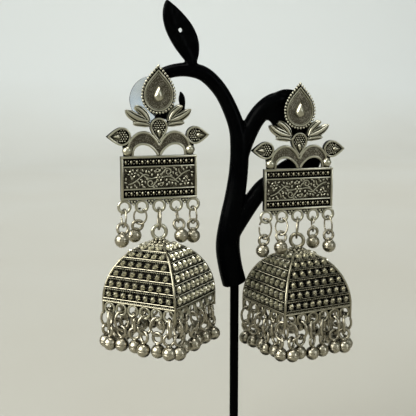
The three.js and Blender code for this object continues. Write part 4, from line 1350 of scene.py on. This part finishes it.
studio = {
    "floor": "#B4B0A3", "wall": "#C9CDCB", "sweepHalf": (4, 2), "sweepBend": 0.4, "wallHigh": 1.6,
    "backEdge": 0.9, "air": [(0.3, "#3A3833"), (0.62, "#8E8D88"), (0.85, "#F4F5F2")], "airStrength": 0.46,
    "airFrom": (-0.45, -0.25, 0.85), "camera": (-0.094, -0.268, 0.139), "yaw": -17.5, "pitch": 9.0,
    "focalPixels": 850, "photoPixels": 416, "sensor": 36,
}
lights = [
    {"name": "windowLight", "place": (-0.62, -0.13, 0.44), "target": (0, 0, 0.09), "size": (0.6, 0.5),
     "power": 8.6, "colour": "#FFFFFA"},
    {"name": "fillLight", "place": (0.45, -0.6, 0.3), "target": (0, 0, 0.1), "size": (0.2, 0.4),
     "power": 1.3, "colour": "#F4F8FF"},
    {"name": "topLight", "place": (0.0, 0.0, 0.7), "target": (0, 0, 0.05), "size": (0.3, 0.4),
     "power": 2.3, "colour": "#FFFFFF"},
    {"name": "wallLight", "place": (0.35, 0.35, 1.1), "target": (0.3, 1.4, 0.6), "size": (1.6, 0.5),
     "power": 16.8, "colour": "#FCFCFC"},
]


def makeStage():
    material, tree, shader, place = newMaterial("palePaperSweep")
    fibre = addNode(tree, "ShaderNodeTexNoise", {"Scale": 6.0, "Detail": 2.0}, {"Vector": place})
    spread = addNode(tree, "ShaderNodeSeparateXYZ", links={"Vector": place}).outputs
    # painted shade and light: the one paper is coloured darker and warmer down on the floor and lighter and
    # cooler higher up the wall and further back
    far = addNode(tree, "ShaderNodeMath", {"operation": "MULTIPLY_ADD", 1: 0.1},
                  {0: spread["Y"], 2: spread["Z"]})
    rise = addNode(tree, "ShaderNodeMath", {"operation": "MULTIPLY_ADD", 1: 0.1},
                   {0: fibre.outputs["Fac"], 2: far.outputs["Value"]})
    colour = colourRamp(tree, rise.outputs["Value"], [(0.0, studio["floor"]), (0.3, studio["wall"])])
    tree.links.new(colour, shader.inputs["Base Color"])
    shader.inputs["Roughness"].default_value = 0.9
    bpy.ops.mesh.primitive_plane_add(size=1)
    sweep = bpy.context.active_object
    sweep.name = "paperSweep"
    bpy.ops.object.mode_set(mode="EDIT")
    bpy.ops.mesh.select_all(action="SELECT")
    bpy.ops.transform.resize(value=(*studio["sweepHalf"], 1))
    bpy.ops.object.mode_set(mode="OBJECT")
    for edge in sweep.data.edges:
        edge.select = min(sweep.data.vertices[i].co.y for i in edge.vertices) > studio["backEdge"]
    for vertex in sweep.data.vertices:
        vertex.select = vertex.co.y > studio["backEdge"]
    bpy.ops.object.mode_set(mode="EDIT")
    # the paper bends up into the wall in ten steps
    for i in range(10):
        a, b = math.radians(9 * i), math.radians(9 * (i + 1))
        back = studio["sweepBend"] * (math.sin(b) - math.sin(a))
        up = studio["sweepBend"] * (math.cos(a) - math.cos(b))
        bpy.ops.mesh.extrude_region_move(TRANSFORM_OT_translate={"value": (0, back, up)})
    bpy.ops.mesh.extrude_region_move(TRANSFORM_OT_translate={"value": (0, 0, studio["wallHigh"])})
    bpy.ops.object.mode_set(mode="OBJECT")
    sweep.data.materials.append(material)
    bpy.ops.object.shade_smooth()
    sweep.select_set(False)


def addLight(name, place, target, size, power, colour):
    light = bpy.data.lights.new(name, "AREA")
    light.shape = "RECTANGLE"
    light.size, light.size_y = size
    light.energy = power
    light.color = hexColour(colour)[:3]
    lamp = bpy.data.objects.new(name, light)
    bpy.context.collection.objects.link(lamp)
    lamp.location = place
    lamp.rotation_euler = (Vector(target) - Vector(place)).to_track_quat("-Z", "Y").to_euler()


makeStage()
for light in lights:
    addLight(**light)


def makeAir():
    # soft daylight from above and to the left, and a darker room below and behind the camera
    world = bpy.data.worlds.new("studioAir")
    bpy.context.scene.world = world
    world.use_nodes = True
    tree = world.node_tree
    way = addNode(tree, "ShaderNodeTexCoord").outputs["Generated"]
    toLight = addNode(tree, "ShaderNodeVectorMath", {"operation": "DOT_PRODUCT", 1: studio["airFrom"]},
                      {0: way})
    lift = addNode(tree, "ShaderNodeMath", {"operation": "MULTIPLY_ADD", 1: 0.5, 2: 0.5},
                   {0: toLight.outputs["Value"]})
    colour = colourRamp(tree, lift.outputs["Value"], studio["air"])
    tree.links.new(colour, tree.nodes["Background"].inputs["Color"])
    tree.nodes["Background"].inputs["Strength"].default_value = studio["airStrength"]


makeAir()

lens = bpy.data.cameras.new("photoCamera")
lens.lens = studio["focalPixels"] / studio["photoPixels"] * studio["sensor"]
lens.sensor_width = studio["sensor"]
lens.clip_start = 0.01
camera = bpy.data.objects.new("photoCamera", lens)
bpy.context.collection.objects.link(camera)
camera.location = studio["camera"]
camera.rotation_euler = (math.radians(90 - studio["pitch"]), 0, math.radians(studio["yaw"]))
bpy.context.scene.camera = camera
bpy.context.scene.view_settings.view_transform = "Standard"

print("scene ready")
